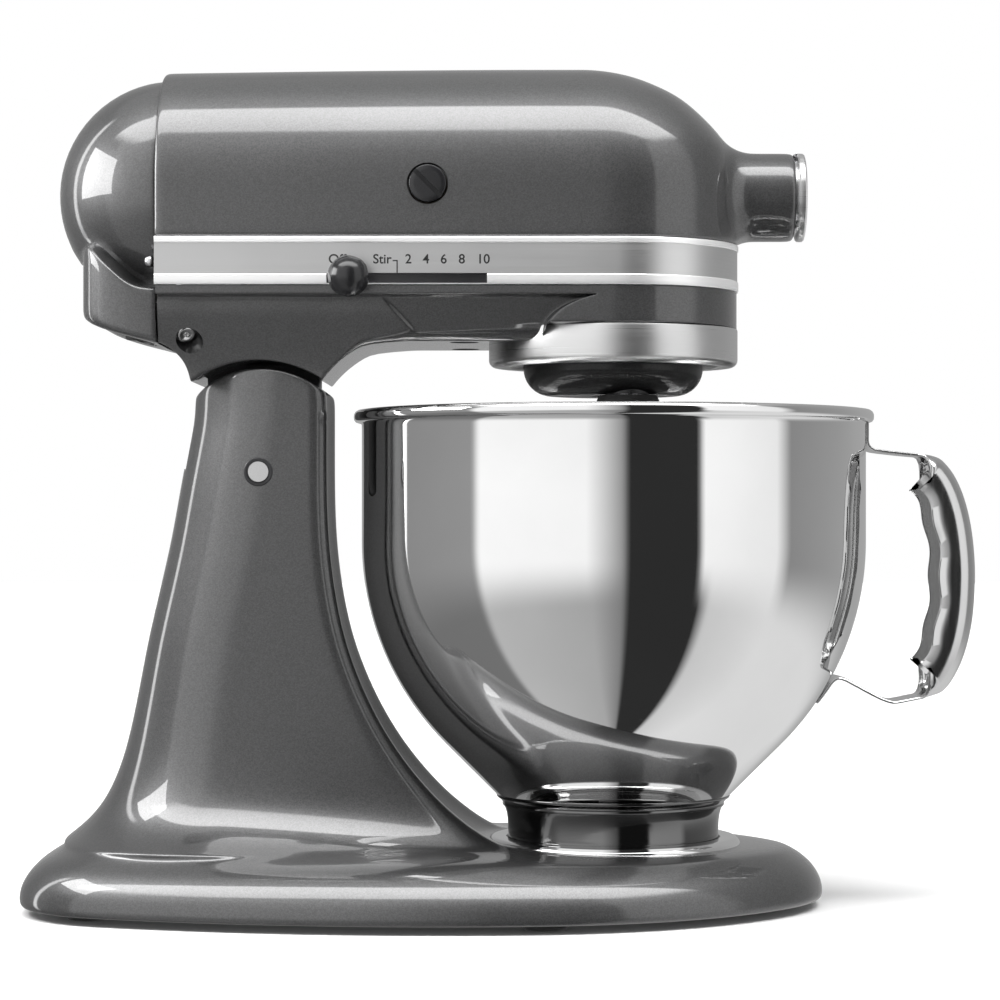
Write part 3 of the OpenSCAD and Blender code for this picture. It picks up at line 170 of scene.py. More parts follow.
def brushed_effect():
    """Fine parallel scratches: noise stretched along one direction."""
    tree, gin, gout = effect(
        "Brushed lines",
        [("Vector", 'NodeSocketVector', None), ("Stretch", 'NodeSocketVector', (1.0, 1.0, 1.0)),
         ("Low", 'NodeSocketFloat', 0.25), ("High", 'NodeSocketFloat', 0.45)],
        [("Value", 'NodeSocketFloat'), ("Height", 'NodeSocketFloat')])
    mult = node(tree, 'ShaderNodeVectorMath', -680, 0, operation='MULTIPLY')
    fine = node(tree, 'ShaderNodeTexNoise', -460, 120)
    preset(fine, Scale=1.0, Detail=4.0, Roughness=0.65)
    mapped = node(tree, 'ShaderNodeMapRange', -200, 120)
    preset(mapped, From_Min=0.25, From_Max=0.75)
    link(tree, gin.outputs['Vector'], mult.inputs[0])
    link(tree, gin.outputs['Stretch'], mult.inputs[1])
    link(tree, mult.outputs[0], fine.inputs['Vector'])
    link(tree, fine.outputs[0], mapped.inputs['Value'])
    link(tree, gin.outputs['Low'], mapped.inputs['To Min'])
    link(tree, gin.outputs['High'], mapped.inputs['To Max'])
    link(tree, mapped.outputs[0], gout.inputs['Value'])
    link(tree, fine.outputs[0], gout.inputs['Height'])
    return tree


def smudge_effect():
    """Large soft patches that vary the gloss, as handling does."""
    tree, gin, gout = effect(
        "Handling haze",
        [("Vector", 'NodeSocketVector', None), ("Low", 'NodeSocketFloat', 0.02),
         ("High", 'NodeSocketFloat', 0.08), ("Scale", 'NodeSocketFloat', 18.0)],
        [("Value", 'NodeSocketFloat')])
    big = node(tree, 'ShaderNodeTexNoise', -460, 120)
    preset(big, Detail=5.0)
    mapped = node(tree, 'ShaderNodeMapRange', -200, 120)
    preset(mapped, From_Min=0.35, From_Max=0.7)
    link(tree, gin.outputs['Vector'], big.inputs['Vector'])
    link(tree, gin.outputs['Scale'], big.inputs['Scale'])
    link(tree, big.outputs[0], mapped.inputs['Value'])
    link(tree, gin.outputs['Low'], mapped.inputs['To Min'])
    link(tree, gin.outputs['High'], mapped.inputs['To Max'])
    link(tree, mapped.outputs[0], gout.inputs['Value'])
    return tree


def material(name, colour, metallic, roughness, **sockets):
    """A new material with a Principled shader and object coordinates at hand."""
    m = bpy.data.materials.new(name)
    m.use_nodes = True
    m.diffuse_color = (*colour, 1.0)
    t = m.node_tree
    p = t.nodes["Principled BSDF"]
    preset(p, Base_Color=(*colour, 1.0), Metallic=metallic, Roughness=roughness, **sockets)
    c = node(t, 'ShaderNodeTexCoord', -1100, 0)
    return m, t, p, c.outputs['Object']


def use(tree, group, x, y, coords, **values):
    """A shared effect placed in a material with its own values."""
    n = node(tree, 'ShaderNodeGroup', x, y)
    n.node_tree = bpy.data.node_groups[group]
    link(tree, coords, n.inputs['Vector'])
    preset(n, **values)
    return n


def shade(colour, factor):
    """A colour made darker or lighter, never over full strength."""
    return tuple(min(1.0, v * factor) for v in colour)


def tone_colour(tree, p, factor, low, high):
    """Base colour between two tones by a factor."""
    mix = node(tree, 'ShaderNodeMix', -450, 300, data_type='RGBA')
    mix.inputs[6].default_value = (*low, 1.0)
    mix.inputs[7].default_value = (*high, 1.0)
    link(tree, factor, mix.inputs[0])
    link(tree, mix.outputs[2], p.inputs['Base Color'])


def bump(tree, p, height, strength, distance):
    b = node(tree, 'ShaderNodeBump', -300, -400)
    preset(b, Strength=strength, Distance=distance)
    link(tree, height, b.inputs['Height'])
    link(tree, b.outputs[0], p.inputs['Normal'])


def paint_material(name, colour, gloss=1.0, matt=0.0):
    m, t, p, c = material(name, colour, 0.78, 0.42, Coat_Weight=gloss, Coat_Roughness=0.03,
                          Coat_IOR=1.56)
    flake = use(t, "Paint flake", -850, 200, c, Scale=2400.0, Spread=0.28)
    haze = use(t, "Handling haze", -850, -100, c, Low=0.4 + matt, High=0.47 + matt,
               Scale=9.0)
    mid = node(t, 'ShaderNodeMath', -650, 300, operation='MULTIPLY')
    mid.inputs[1].default_value = 0.5
    link(t, flake.outputs['Tone'], mid.inputs[0])
    tone_colour(t, p, mid.outputs[0], shade(colour, 0.3), shade(colour, 1.7))
    link(t, haze.outputs[0], p.inputs['Roughness'])
    bump(t, p, flake.outputs['Height'], 0.05, 0.00003)
    return m


def brushed_material(name, colour, stretch, low, high, strength=0.08, metallic=1.0):
    m, t, p, c = material(name, colour, metallic, (low + high) / 2)
    lines = use(t, "Brushed lines", -850, 100, c, Stretch=stretch, Low=low, High=high)
    haze = use(t, "Handling haze", -850, 400, c, Low=0.0, High=1.0, Scale=12.0)
    link(t, lines.outputs['Value'], p.inputs['Roughness'])
    tone_colour(t, p, haze.outputs[0], shade(colour, 0.95), shade(colour, 1.04))
    bump(t, p, lines.outputs['Height'], strength, 0.00006)
    return m


def moulded_material(name, colour, low, high, grain=900.0, strength=0.12):
    m, t, p, c = material(name, colour, 0.0, (low + high) / 2)
    haze = use(t, "Handling haze", -850, 200, c, Low=low, High=high, Scale=30.0)
    grain_lines = use(t, "Brushed lines", -850, -200, c, Stretch=(grain, grain, grain))
    link(t, haze.outputs[0], p.inputs['Roughness'])
    tone_colour(t, p, haze.outputs[0], shade(colour, 0.85), shade(colour, 1.2))
    bump(t, p, grain_lines.outputs['Height'], strength, 0.00005)
    return m


def make_materials(colours):
    flake_effect()
    brushed_effect()
    smudge_effect()
    paint = tuple(colours.paint)
    steel = tuple(colours.steel)
    satin = tuple(colours.satin)
    black = tuple(colours.plastic)
    paint_material("graphite paint", paint)
    paint_material("dark paint", shade(paint, 0.5), 0.25, 0.12)
    brushed_material("polished steel", steel, (8.0, 8.0, 900.0), 0.02, 0.05, 0.01)
    # steel darkened to a fifth, for the bowl's polished foot ring and lugs: painted dark reflection
    # of the dark base round them
    brushed_material("steel with painted dark reflection", shade(steel, 0.2), (8.0, 8.0, 900.0), 0.06, 0.1, 0.01)
    brushed_material("handle steel", shade(steel, 0.8), (900.0, 30.0, 30.0), 0.12, 0.22, 0.04)
    brushed_material("satin band", satin, (12.0, 12.0, 2600.0), 0.3, 0.46, 0.1)
    # lighter, partly diffuse steel for the band's lips: partly their polished finish, partly
    # painted highlight for their bright reflections
    brushed_material("band lip with painted highlight", shade(satin, 1.32), (10.0, 10.0, 1200.0), 0.34, 0.44, 0.05,
                     metallic=0.75)
    brushed_material("satin ring", satin, (10.0, 10.0, 2200.0), 0.24, 0.4, 0.1)
    brushed_material("bright screw", steel, (700.0, 700.0, 700.0), 0.08, 0.18, 0.05)
    brushed_material("turned steel", (0.6, 0.6, 0.61), (1800.0, 60.0, 60.0), 0.2, 0.36)
    brushed_material("plate steel", (0.55, 0.55, 0.56), (60.0, 60.0, 1500.0), 0.05, 0.12, 0.03)
    brushed_material("cast aluminium", (0.5, 0.5, 0.51), (420.0, 420.0, 420.0), 0.42, 0.62, 0.5)
    brushed_material("sintered bronze", (0.55, 0.36, 0.18), (900.0, 900.0, 900.0), 0.32, 0.5, 0.2)
    brushed_material("gear steel", (0.42, 0.42, 0.44), (600.0, 600.0, 600.0), 0.22, 0.4, 0.1)
    brushed_material("laminated iron", (0.3, 0.3, 0.31), (2400.0, 20.0, 20.0), 0.35, 0.6, 0.6)
    brushed_material("enamelled copper", (0.5, 0.18, 0.07), (1500.0, 40.0, 40.0), 0.16, 0.34, 0.8)
    brushed_material("bar copper", (0.72, 0.36, 0.2), (30.0, 900.0, 900.0), 0.2, 0.4, 0.2)
    brushed_material("brass", (0.72, 0.52, 0.22), (600.0, 600.0, 600.0), 0.2, 0.36, 0.1)
    moulded_material("black plastic", black, 0.14, 0.26, 700.0, 0.05)
    moulded_material("satin black", shade(black, 1.6), 0.3, 0.45)
    moulded_material("rubber", (0.02, 0.02, 0.02), 0.6, 0.8, 1200.0, 0.3)
    moulded_material("carbon", (0.02, 0.02, 0.022), 0.5, 0.7, 1500.0, 0.4)
    moulded_material("dark board", (0.06, 0.045, 0.03), 0.4, 0.6, 500.0, 0.2)
    moulded_material("black ink", (0.012, 0.012, 0.012), 0.45, 0.6, 2000.0, 0.05)


def finish_of(name):
    return bpy.data.materials[name]


# ---------------------------------------------------------------- mesh helpers

def loft(bm, rings, closed=True):
    """Extrudes one outline from row to row; every row has the same number of points."""
    row = [bm.verts.new(p) for p in rings[0]]
    n = len(row)
    edges = [bm.edges.new((row[i], row[(i + 1) % n])) for i in range(n if closed else n - 1)]
    rows = [row]
    for ring in rings[1:]:
        out = bmesh.ops.extrude_edge_only(bm, edges=edges)["geom"]
        fresh = {g for g in out if isinstance(g, bmesh.types.BMVert)}
        row = [next(e.other_vert(v) for e in v.link_edges if e.other_vert(v) in fresh) for v in row]
        for v, p in zip(row, ring):
            v.co = p
        edges = [g for g in out if isinstance(g, bmesh.types.BMEdge)
                 and g.verts[0] in fresh and g.verts[1] in fresh]
        rows.append(row)
    return rows


def lathe(bm, profile, origin, axis, radial, steps):
    """Spins a profile of (radius, height) pairs in millimetres round an axis."""
    axis = Vector(axis).normalized()
    radial = Vector(radial).normalized()
    verts = [bm.verts.new(origin + radial * (r * 0.001) + axis * (h * 0.001)) for r, h in profile]
    edges = [bm.edges.new((a, b)) for a, b in zip(verts, verts[1:])]
    bmesh.ops.spin(bm, geom=verts + edges, cent=origin, axis=axis, dvec=(0, 0, 0),
                   angle=2 * math.pi, steps=steps, use_merge=True, use_duplicate=False)
    bmesh.ops.remove_doubles(bm, verts=bm.verts, dist=1e-6)


def arc(x, z, radius, degrees):
    """Points of a circle's arc, as (x, z) pairs."""
    return [(x + radius * math.cos(math.radians(a)), z + radius * math.sin(math.radians(a)))
            for a in degrees]


def rounded(points, radius, segments=5):
    """The profile with each inner corner replaced by a short curve of about that radius."""
    out = [Vector(points[0])]
    for a, b, c in zip(points, points[1:], points[2:]):
        a, b, c = Vector(a), Vector(b), Vector(c)
        r = min(radius, (a - b).length * 0.48, (c - b).length * 0.48)
        p = b + (a - b).normalized() * r
        q = b + (c - b).normalized() * r
        for k in range(segments + 1):
            t = k / segments
            out.append((1 - t) ** 2 * p + 2 * t * (1 - t) * b + t * t * q)
    out.append(Vector(points[-1]))
    return out


def table(z, rows):
    """Smooth interpolation through rows of (key, value), by slopes that never overshoot."""
    keys = [r[0] for r in rows]
    vals = [r[1] for r in rows]
    if z <= keys[0]:
        return vals[0]
    if z >= keys[-1]:
        return vals[-1]
    d = [(vals[i + 1] - vals[i]) / (keys[i + 1] - keys[i]) for i in range(len(keys) - 1)]
    m = [d[0]]
    for i in range(1, len(d)):
        m.append(0.0 if d[i - 1] * d[i] <= 0 else 2 * d[i - 1] * d[i] / (d[i - 1] + d[i]))
    m.append(d[-1])
    i = max(k for k in range(len(d)) if keys[k] <= z)
    h = keys[i + 1] - keys[i]
    t = (z - keys[i]) / h
    return (vals[i] * (1 + 2 * t) * (1 - t) ** 2 + vals[i + 1] * t * t * (3 - 2 * t)
            + h * m[i] * t * (1 - t) ** 2 - h * m[i + 1] * t * t * (1 - t))


def tidy_normals(bm):
    bmesh.ops.remove_doubles(bm, verts=bm.verts, dist=2e-6)
    bmesh.ops.recalc_face_normals(bm, faces=bm.faces)


def close_holes(bm):
    """Fills every open loop of edges with a face and mends the normals."""
    bmesh.ops.holes_fill(bm, edges=[e for e in bm.edges if e.is_boundary], sides=0)
    tidy_normals(bm)


def bevelled(bm, angle, width, segments=3):
    """Rounds the edges that are sharper than an angle in degrees."""
    limit = math.radians(angle)
    sharp = [e for e in bm.edges if len(e.link_faces) == 2 and e.calc_face_angle(0) > limit]
    bmesh.ops.bevel(bm, geom=sharp, offset=width * 0.001, segments=segments, profile=0.5,
                    affect='EDGES', offset_type='OFFSET', clamp_overlap=True, material=-1)


def new_object(name, bm):
    me = bpy.data.meshes.new(name)
    bm.to_mesh(me)
    bm.free()
    ob = bpy.data.objects.new(name, me)
    bpy.context.scene.collection.objects.link(ob)
    return ob


def smooth(ob, angle):
    me = ob.data
    for p in me.polygons:
        p.use_smooth = True
    me.set_sharp_from_angle(angle=math.radians(angle))


def subdivide(ob, levels):
    m = ob.modifiers.new("Rounding", 'SUBSURF')
    m.levels = levels
    m.render_levels = levels


def settle(ob):
    """Turns the object's modifiers into its own mesh."""
    bpy.context.view_layer.update()
    graph = bpy.context.evaluated_depsgraph_get()
    me = bpy.data.meshes.new_from_object(ob.evaluated_get(graph))
    old = ob.data
    ob.modifiers.clear()
    ob.data = me
    me.name = ob.name
    bpy.data.meshes.remove(old)


def cut(ob, *tools, closed=False):
    """Takes tool shapes out of an object, open or closed, and removes the tools."""
    for tool in tools:
        m = ob.modifiers.new("Cut", 'BOOLEAN')
        m.operation = 'DIFFERENCE'
        m.solver = 'MANIFOLD' if closed else 'EXACT'
        m.object = tool
    settle(ob)
    for tool in tools:
        me = tool.data
        bpy.data.objects.remove(tool)
        bpy.data.meshes.remove(me)


def rod(origin, axis, radius, length):
    """A plain round tool shape for cut()."""
    bm = bmesh.new()
    turn = Vector(axis).to_track_quat('Z', 'Y').to_matrix().to_4x4()
    bmesh.ops.create_cone(bm, cap_ends=True, segments=64, radius1=radius * 0.001,
                          radius2=radius * 0.001, depth=length * 0.001,
                          matrix=Matrix.Translation(origin) @ turn)
    return new_object("tool", bm)


def block(low, high):
    """A box-shaped tool between two corners."""
    bm = bmesh.new()
    size = [h - l for l, h in zip(low, high)]
    mid = [(h + l) / 2 for l, h in zip(low, high)]
    bmesh.ops.create_cube(bm, size=1.0,
                          matrix=Matrix.Translation(mid) @ Matrix.Diagonal((*size, 1)))
    return new_object("tool", bm)


def dress(ob, finish, body, *nodes, angle=35):
    """Smooth shading, finish, the body it rides on and the nodes it stands for."""
    ob.data.materials.clear()
    ob.data.materials.append(finish_of(finish))
    smooth(ob, angle)
    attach(ob, body)
    if nodes:
        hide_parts(*nodes)
    return ob


def turned(name, profile, spin, finish, body, *nodes, angle=35):
    """A piece spun from a profile; spin holds the origin, axis, radial and steps of lathe()."""
    bm = bmesh.new()
    lathe(bm, profile, *spin)
    tidy_normals(bm)
    ob = new_object(name, bm)
    dress(ob, finish, body, *nodes, angle=angle)


def sided(stem, side):
    """A piece's name with its side: -1 is the near one, 1 the far one."""
    return stem + ("_near" if side < 0 else "_far")


def mirrored_half(bm):
    """Copies the y > 0 half to the other side and joins the two."""
    bmesh.ops.mirror(bm, geom=bm.verts[:] + bm.edges[:] + bm.faces[:], matrix=Matrix.Identity(4),
                     merge_dist=1e-5, axis='Y', mirror_u=False, mirror_v=False)
    tidy_normals(bm)


# ---------------------------------------------------------------- stand

def direction(a):
    return Vector((math.cos(math.radians(a)), math.sin(math.radians(a))))


def egg(inset):
    """Half of the base outline from the rear to the nose, drawn in by a margin."""
    turns = (0, 38.5, 84, 110.5, 174.5, 180)
    radii = [72, 150, 410, 51.5]
    centres = [Vector((17.5, 0))]
    for k in range(3):
        centres.append(centres[-1] + (radii[k] - radii[k + 1]) * direction(turns[k + 1]))
    tail = radii[3] + centres[3].y / direction(turns[4]).y
    centres.append(centres[3] + (radii[3] - tail) * direction(turns[4]))
    radii.append(tail)
    pts = []
    for c, r, a, b in zip(centres, radii, turns, turns[1:]):
        steps = 30
        pts += [c + (r - inset) * direction(a + (b - a) * k / steps) for k in range(steps)]
    pts.append(Vector((centres[4].x - radii[4] + inset, 0)))
    pts[0].y = 0
    return pts[::-1]


def resample(line, n):
    """n + 1 points at even spacing along a polyline."""
    run = [0.0]
    for a, b in zip(line, line[1:]):
        run.append(run[-1] + (b - a).length)
    out = []
    i = 0
    for k in range(n + 1):
        s = run[-1] * k / n
        while i < len(run) - 2 and run[i + 1] < s:
            i += 1
        t = 0 if run[i + 1] == run[i] else (s - run[i]) / (run[i + 1] - run[i])
        out.append(line[i].lerp(line[i + 1], t))
    return out


REAR, SIDE, CORNER, FRONT = 14, 9, 6, 8


def egg_row(inset):
    """The base outline split at the same places as a column section."""
    line = egg(inset)
    out = []
    cuts = [-1000, -165, -66, -12, 1000]
    for low, high, n in zip(cuts, cuts[1:], (REAR, SIDE, CORNER, FRONT)):
        part = [p for p in line if low <= p.x <= high]
        if low > -1000:
            part.insert(0, last)
        last = part[-1]
        out += resample(part, n)[1 if out else 0:]
    return out


COLUMN_REAR = [(28, -232.5), (30, -230.5), (33, -226.5), (38, -221), (45, -215.5), (55, -210.6),
               (67, -206.6), (85, -202.6), (115, -197), (137, -191.7), (151, -188.3),
               (171, -184.9), (200, -179.4), (230, -173.6)]
COLUMN_WIDE = [(28, 74), (30, 69), (33, 63), (38, 56.5), (45, 51), (55, 46.6), (67, 43.4),
               (85, 40.6), (115, 38.3), (140, 37.4), (171, 37), (230, 37)]
COLUMN_DEEP = [(28, 72), (33, 62), (38, 55), (45, 48), (55, 43), (67, 40), (85, 38), (115, 37),
               (230, 37)]
COLUMN_FRONT = [(28, -47), (30, -50.5), (33, -56), (38, -63), (45, -71.5), (55, -81), (67, -90.5),
                (85, -101.2), (115, -113), (137, -117.3), (151, -119), (171, -119.9), (230, -119.9)]
COLUMN_CORNER = [(28, 49), (33, 46.5), (45, 43), (55, 41.5), (67, 40.3), (85, 39), (115, 37.6),
                 (140, 37), (230, 37)]
COLUMN_HOLLOW = [(28, 10), (45, 10), (67, 9.5), (100, 6.8), (150, 5.8), (230, 5.8)]


def column_row(z, half):
    """Half a column section at one height: round back, straight side, soft corner, hollow front."""
    grow = half / 37.0
    xr = table(z, COLUMN_REAR)
    deep = table(z, COLUMN_DEEP)
    wide = table(z, COLUMN_WIDE) * grow
    xf = table(z, COLUMN_FRONT)
    wc = table(z, COLUMN_CORNER) * grow
    xm = xr + deep
    power = 2.0 / table(z, [(28, 2.35), (45, 2.1), (67, 2.0), (230, 2.0)])
    back = []
    for k in range(REAR * 4 + 1):
        a = math.pi / 2 * k / (REAR * 4)
        back.append(Vector((xm - deep * math.cos(a) ** power, wide * math.sin(a) ** power)))
    r = table(z, [(28, 16), (38, 13), (55, 10), (85, 8), (230, 7)])
    hollow = Vector((xf - table(z, COLUMN_HOLLOW), 0))
    tip = Vector((xf, wc))
    side_end = tip + (Vector((xm, wide)) - tip).normalized() * r
    front_start = Vector((xf, wc - r))
    side = [Vector((xm, wide)).lerp(side_end, k / 20) for k in range(21)]
    corner = [(1 - t) ** 2 * side_end + 2 * t * (1 - t) * tip + t * t * front_start
              for t in [k / 20 for k in range(21)]]
    face = []
    for k in range(21):
        t = k / 20
        y = front_start.y * (1 - t)
        x = front_start.x + (hollow.x - front_start.x) * (1 - (y / front_start.y) ** 2)
        face.append(Vector((x, y)))
    return (resample(back, REAR) + resample(side, SIDE)[1:] + resample(corner, CORNER)[1:]
            + resample(face, FRONT)[1:])


HINGE_X, HINGE_Z = -148.0, 183.0
SLOT_HALF, TONGUE_HALF = 10.4, 10.0
# the lock pin's distance and angle from the hinge
LOCK_ARM, LOCK_ANGLE = 17.0, -50.0


def hinge_slab(ring, half):
    """A side outline, in millimetres from the hinge, given width along Y."""
    bm = bmesh.new()
    verts = [bm.verts.new(at(HINGE_X + x, -half, HINGE_Z + z)) for x, z in ring]
    face = bm.faces.new(verts)
    out = bmesh.ops.extrude_face_region(bm, geom=[face])["geom"]
    bmesh.ops.translate(bm, vec=(0, 2 * half * 0.001, 0),
                        verts=[g for g in out if isinstance(g, bmesh.types.BMVert)])
    return bm


class MIXER_OT_stand(bpy.types.Operator):
    """Base and column as one cast body, hollow below, with the slot of the tilting head"""
    bl_idname = "mixer.stand"
    bl_label = "Stand"

    def execute(self, context):
        sizes = context.scene.mixer_sizes
        half = sizes.column_half * 1000
        bm = bmesh.new()
        rows = []
        for inset, z in ((15.6, 16), (15, 15), (14.6, 4.4), (13.4, 3.3), (2.6, 3.3), (1.0, 3.6),
                         (0.25, 4.8), (0, 7), (0.6, 10.5), (2.1, 14), (4.8, 17.8), (8.6, 21.2),
                         (13.2, 23.9)):
            rows.append([at(p.x, p.y, z) for p in egg_row(inset)])
        # the flat top round the bowl's seat; the rear and the sides already rise to the column
        outer = egg_row(19)
        seat = column_row(28, half)
        first = REAR + SIDE
        row = []
        for k, (a, b) in enumerate(zip(outer, seat)):
            t = min(1.0, max(0.0, (k - first + 6) / 8))
            p = b.lerp(a, t + (1 - t) * 0.45)
            row.append(at(p.x, p.y, 26.6 + (1 - t) * 0.2))
        rows.append(row)
        row = []
        for k, b in enumerate(seat):
            t = min(1.0, max(0.0, (k - first + 6) / 8))
            away = Vector((b.x + 100, b.y)).normalized() * 3.0
            row.append(at(b.x + away.x * t, b.y + away.y * t, 28.2 - 1.3 * t))
        rows.append(row)
        for z in (30, 33, 38, 45, 55, 67, 82, 98, 115, 135, 155, 175, 192, 204):
            rows.append([at(p.x, p.y, z) for p in column_row(z, half)])
        top = column_row(206, half)
        for drop, shrink, flat in ((5.0, 0.0, 1), (1.6, 0.004, 1), (0.35, 0.016, 1), (0, 0.045, 1),
                                   (0, 0.07, 0.8), (0, 0.07, 0.4), (0, 0.07, 0.0)):
            row = []
            for p in top:
                x = HINGE_X + (p.x - HINGE_X) * (1 - shrink)
                y = p.y * (1 - shrink) * flat
                z = HINGE_Z + math.sqrt(43.0 ** 2 - (x - HINGE_X) ** 2) - drop
                row.append(at(x, y, z))
            rows.append(row)
        loft(bm, rows, closed=False)
        mirrored_half(bm)
        close_holes(bm)
        ob = new_object("stand_shell", bm)
        subdivide(ob, sizes.smoothing)
        settle(ob)
        # slot for the tongue, with room for its whole travel
        ring = [(23.6, -6.9), (23, 0), (23, 60), (-23, 60), (-58.7, 26.2), (-16.3, -16.3)]
        bm = hinge_slab(ring + arc(0, 0, 24.6, range(-130, -10, 8)), SLOT_HALF)
        bmesh.ops.recalc_face_normals(bm, faces=bm.faces)
        slot = new_object("tool", bm)
        lean = math.radians(LOCK_ANGLE)
        lock = at(HINGE_X + LOCK_ARM * math.cos(lean), 40, HINGE_Z + LOCK_ARM * math.sin(lean))
        tools = [slot, rod(at(HINGE_X, 0, HINGE_Z), (0, 1, 0), 5.0, 90),
                 rod(lock, (0, 1, 0), 3.3, 30)]
        cut(ob, *tools, closed=True)
        dress(ob, "graphite paint", "stand", "base_casting", "column_casting", angle=32)
        return {'FINISHED'}


# ---------------------------------------------------------------- motor head

SEAM_X = -189.4
HEAD_HALF = 52.5
BAND_TOP = 279.0
HUB_Z = 300.0
# the brush caps on the head's sides, and the hole that the cord leaves by
BRUSH_X, BRUSH_Z = -77.7, 300.5
CORD_X, CORD_Y = -204, 26
NOSE_REACH = [(0, 52.6), (10, 51.8), (20, 49.6), (27.5, 45.4), (36.7, 38.9), (50.7, 27.9),
              (60, 18.5), (69, 9.4), (80, -3.0), (90, -14.0)]


def roof_point(radius, top, alpha, u, inset=0.0):
    """A point of the head shell. alpha climbs from the side to the ridge; u runs from the
    rear seam (0) to where the nose starts to turn in (1) and on round to its tip (2)."""
    a = math.radians(max(alpha, 0.0))
    centre = top - radius
    z = centre + (radius - inset) * math.sin(a)
    w = (radius - inset) * math.cos(a)
    if alpha < 0:
        z = centre + alpha
    start = -14.0 * math.sin(a) ** 2
    reach = table(max(alpha, 0.0), NOSE_REACH) * radius / 52.6
    if u <= 1:
        x = SEAM_X + (start - SEAM_X) * u
        y = w
        z -= 1.7 * max(0.0, (-40 - x) / 150.0) ** 1.5 * max(0.0, math.sin(a))
    else:
        t = math.radians(90 * (u - 1))
        x = start + (reach - start) * math.sin(t)
        y = w * math.cos(t)
    return x, y, z


class MIXER_OT_head_shell(bpy.types.Operator):
    """Upper housing: a round-roofed shell with a falling nose and a rolled edge at the rear"""
    bl_idname = "mixer.head_shell"
    bl_label = "Upper housing"

    def execute(self, context):
        sizes = context.scene.mixer_sizes
        radius = sizes.head_radius * 1000
        top = sizes.head_top * 1000
        bm = bmesh.new()
        centre = top - radius
        low = BAND_TOP - centre
        alphas = [low + 0.15, low + 0.6, low + 2.5, low + 7, low + 13, -2]
        alphas += [90 * k / 22 for k in range(23)]
        shifts = [0, 0.02, 0.07, 0.16, 0.27, 0.38, 0.5, 0.62, 0.74, 0.85, 0.94, 1.0]
        rows = []
        for i, alpha in enumerate(alphas):
            pull = (1.0, 0.25)[i] if i < 2 else 0.0
            row = []
            for x, inset in ((-184.5, 5.2), (-189.0, 5.0), (-189.4, 4.4), (-189.4, 1.8),
                             (-189.1, 0.7), (-188.2, 0.1)):
                p = roof_point(radius, top, alpha, 0.0, inset)
                if alpha < 0:
                    p = (p[0], radius - inset, p[2])
                row.append(at(x, max(0.0, p[1] - pull), p[2]))
            for u in shifts[1:] + [1 + k / 11 for k in range(1, 12)]:
                x, y, z = roof_point(radius, top, alpha, u)
                size = math.hypot(max(x, 0.0), y) or 1.0
                row.append(at(x - pull * max(x, 0.0) / size, max(0.0, y - pull * y / size), z))
            rows.append(row)
        loft(bm, rows, closed=False)
        mirrored_half(bm)
        ob = new_object("upper_housing_shell", bm)
        subdivide(ob, sizes.smoothing)
        settle(ob)
        tools = [rod(at(BRUSH_X, s * 55, BRUSH_Z), (0, 1, 0), 8.5, 20) for s in (-1, 1)]
        tools.append(rod(at(62, 0, HUB_Z), (1, 0, 0), 17.0, 40))
        cut(ob, *tools)
        dress(ob, "graphite paint", "head", "upper_housing", angle=32)
        return {'FINISHED'}


# the hub's outer edge towards its mouth: how far drawn in (mm) and how far forward (m)
HUB_MOUTH = ((0, 0.0685), (0, 0.0744), (0.5, 0.0759), (1.6, 0.0764))
SKIRT_ROWS = 9


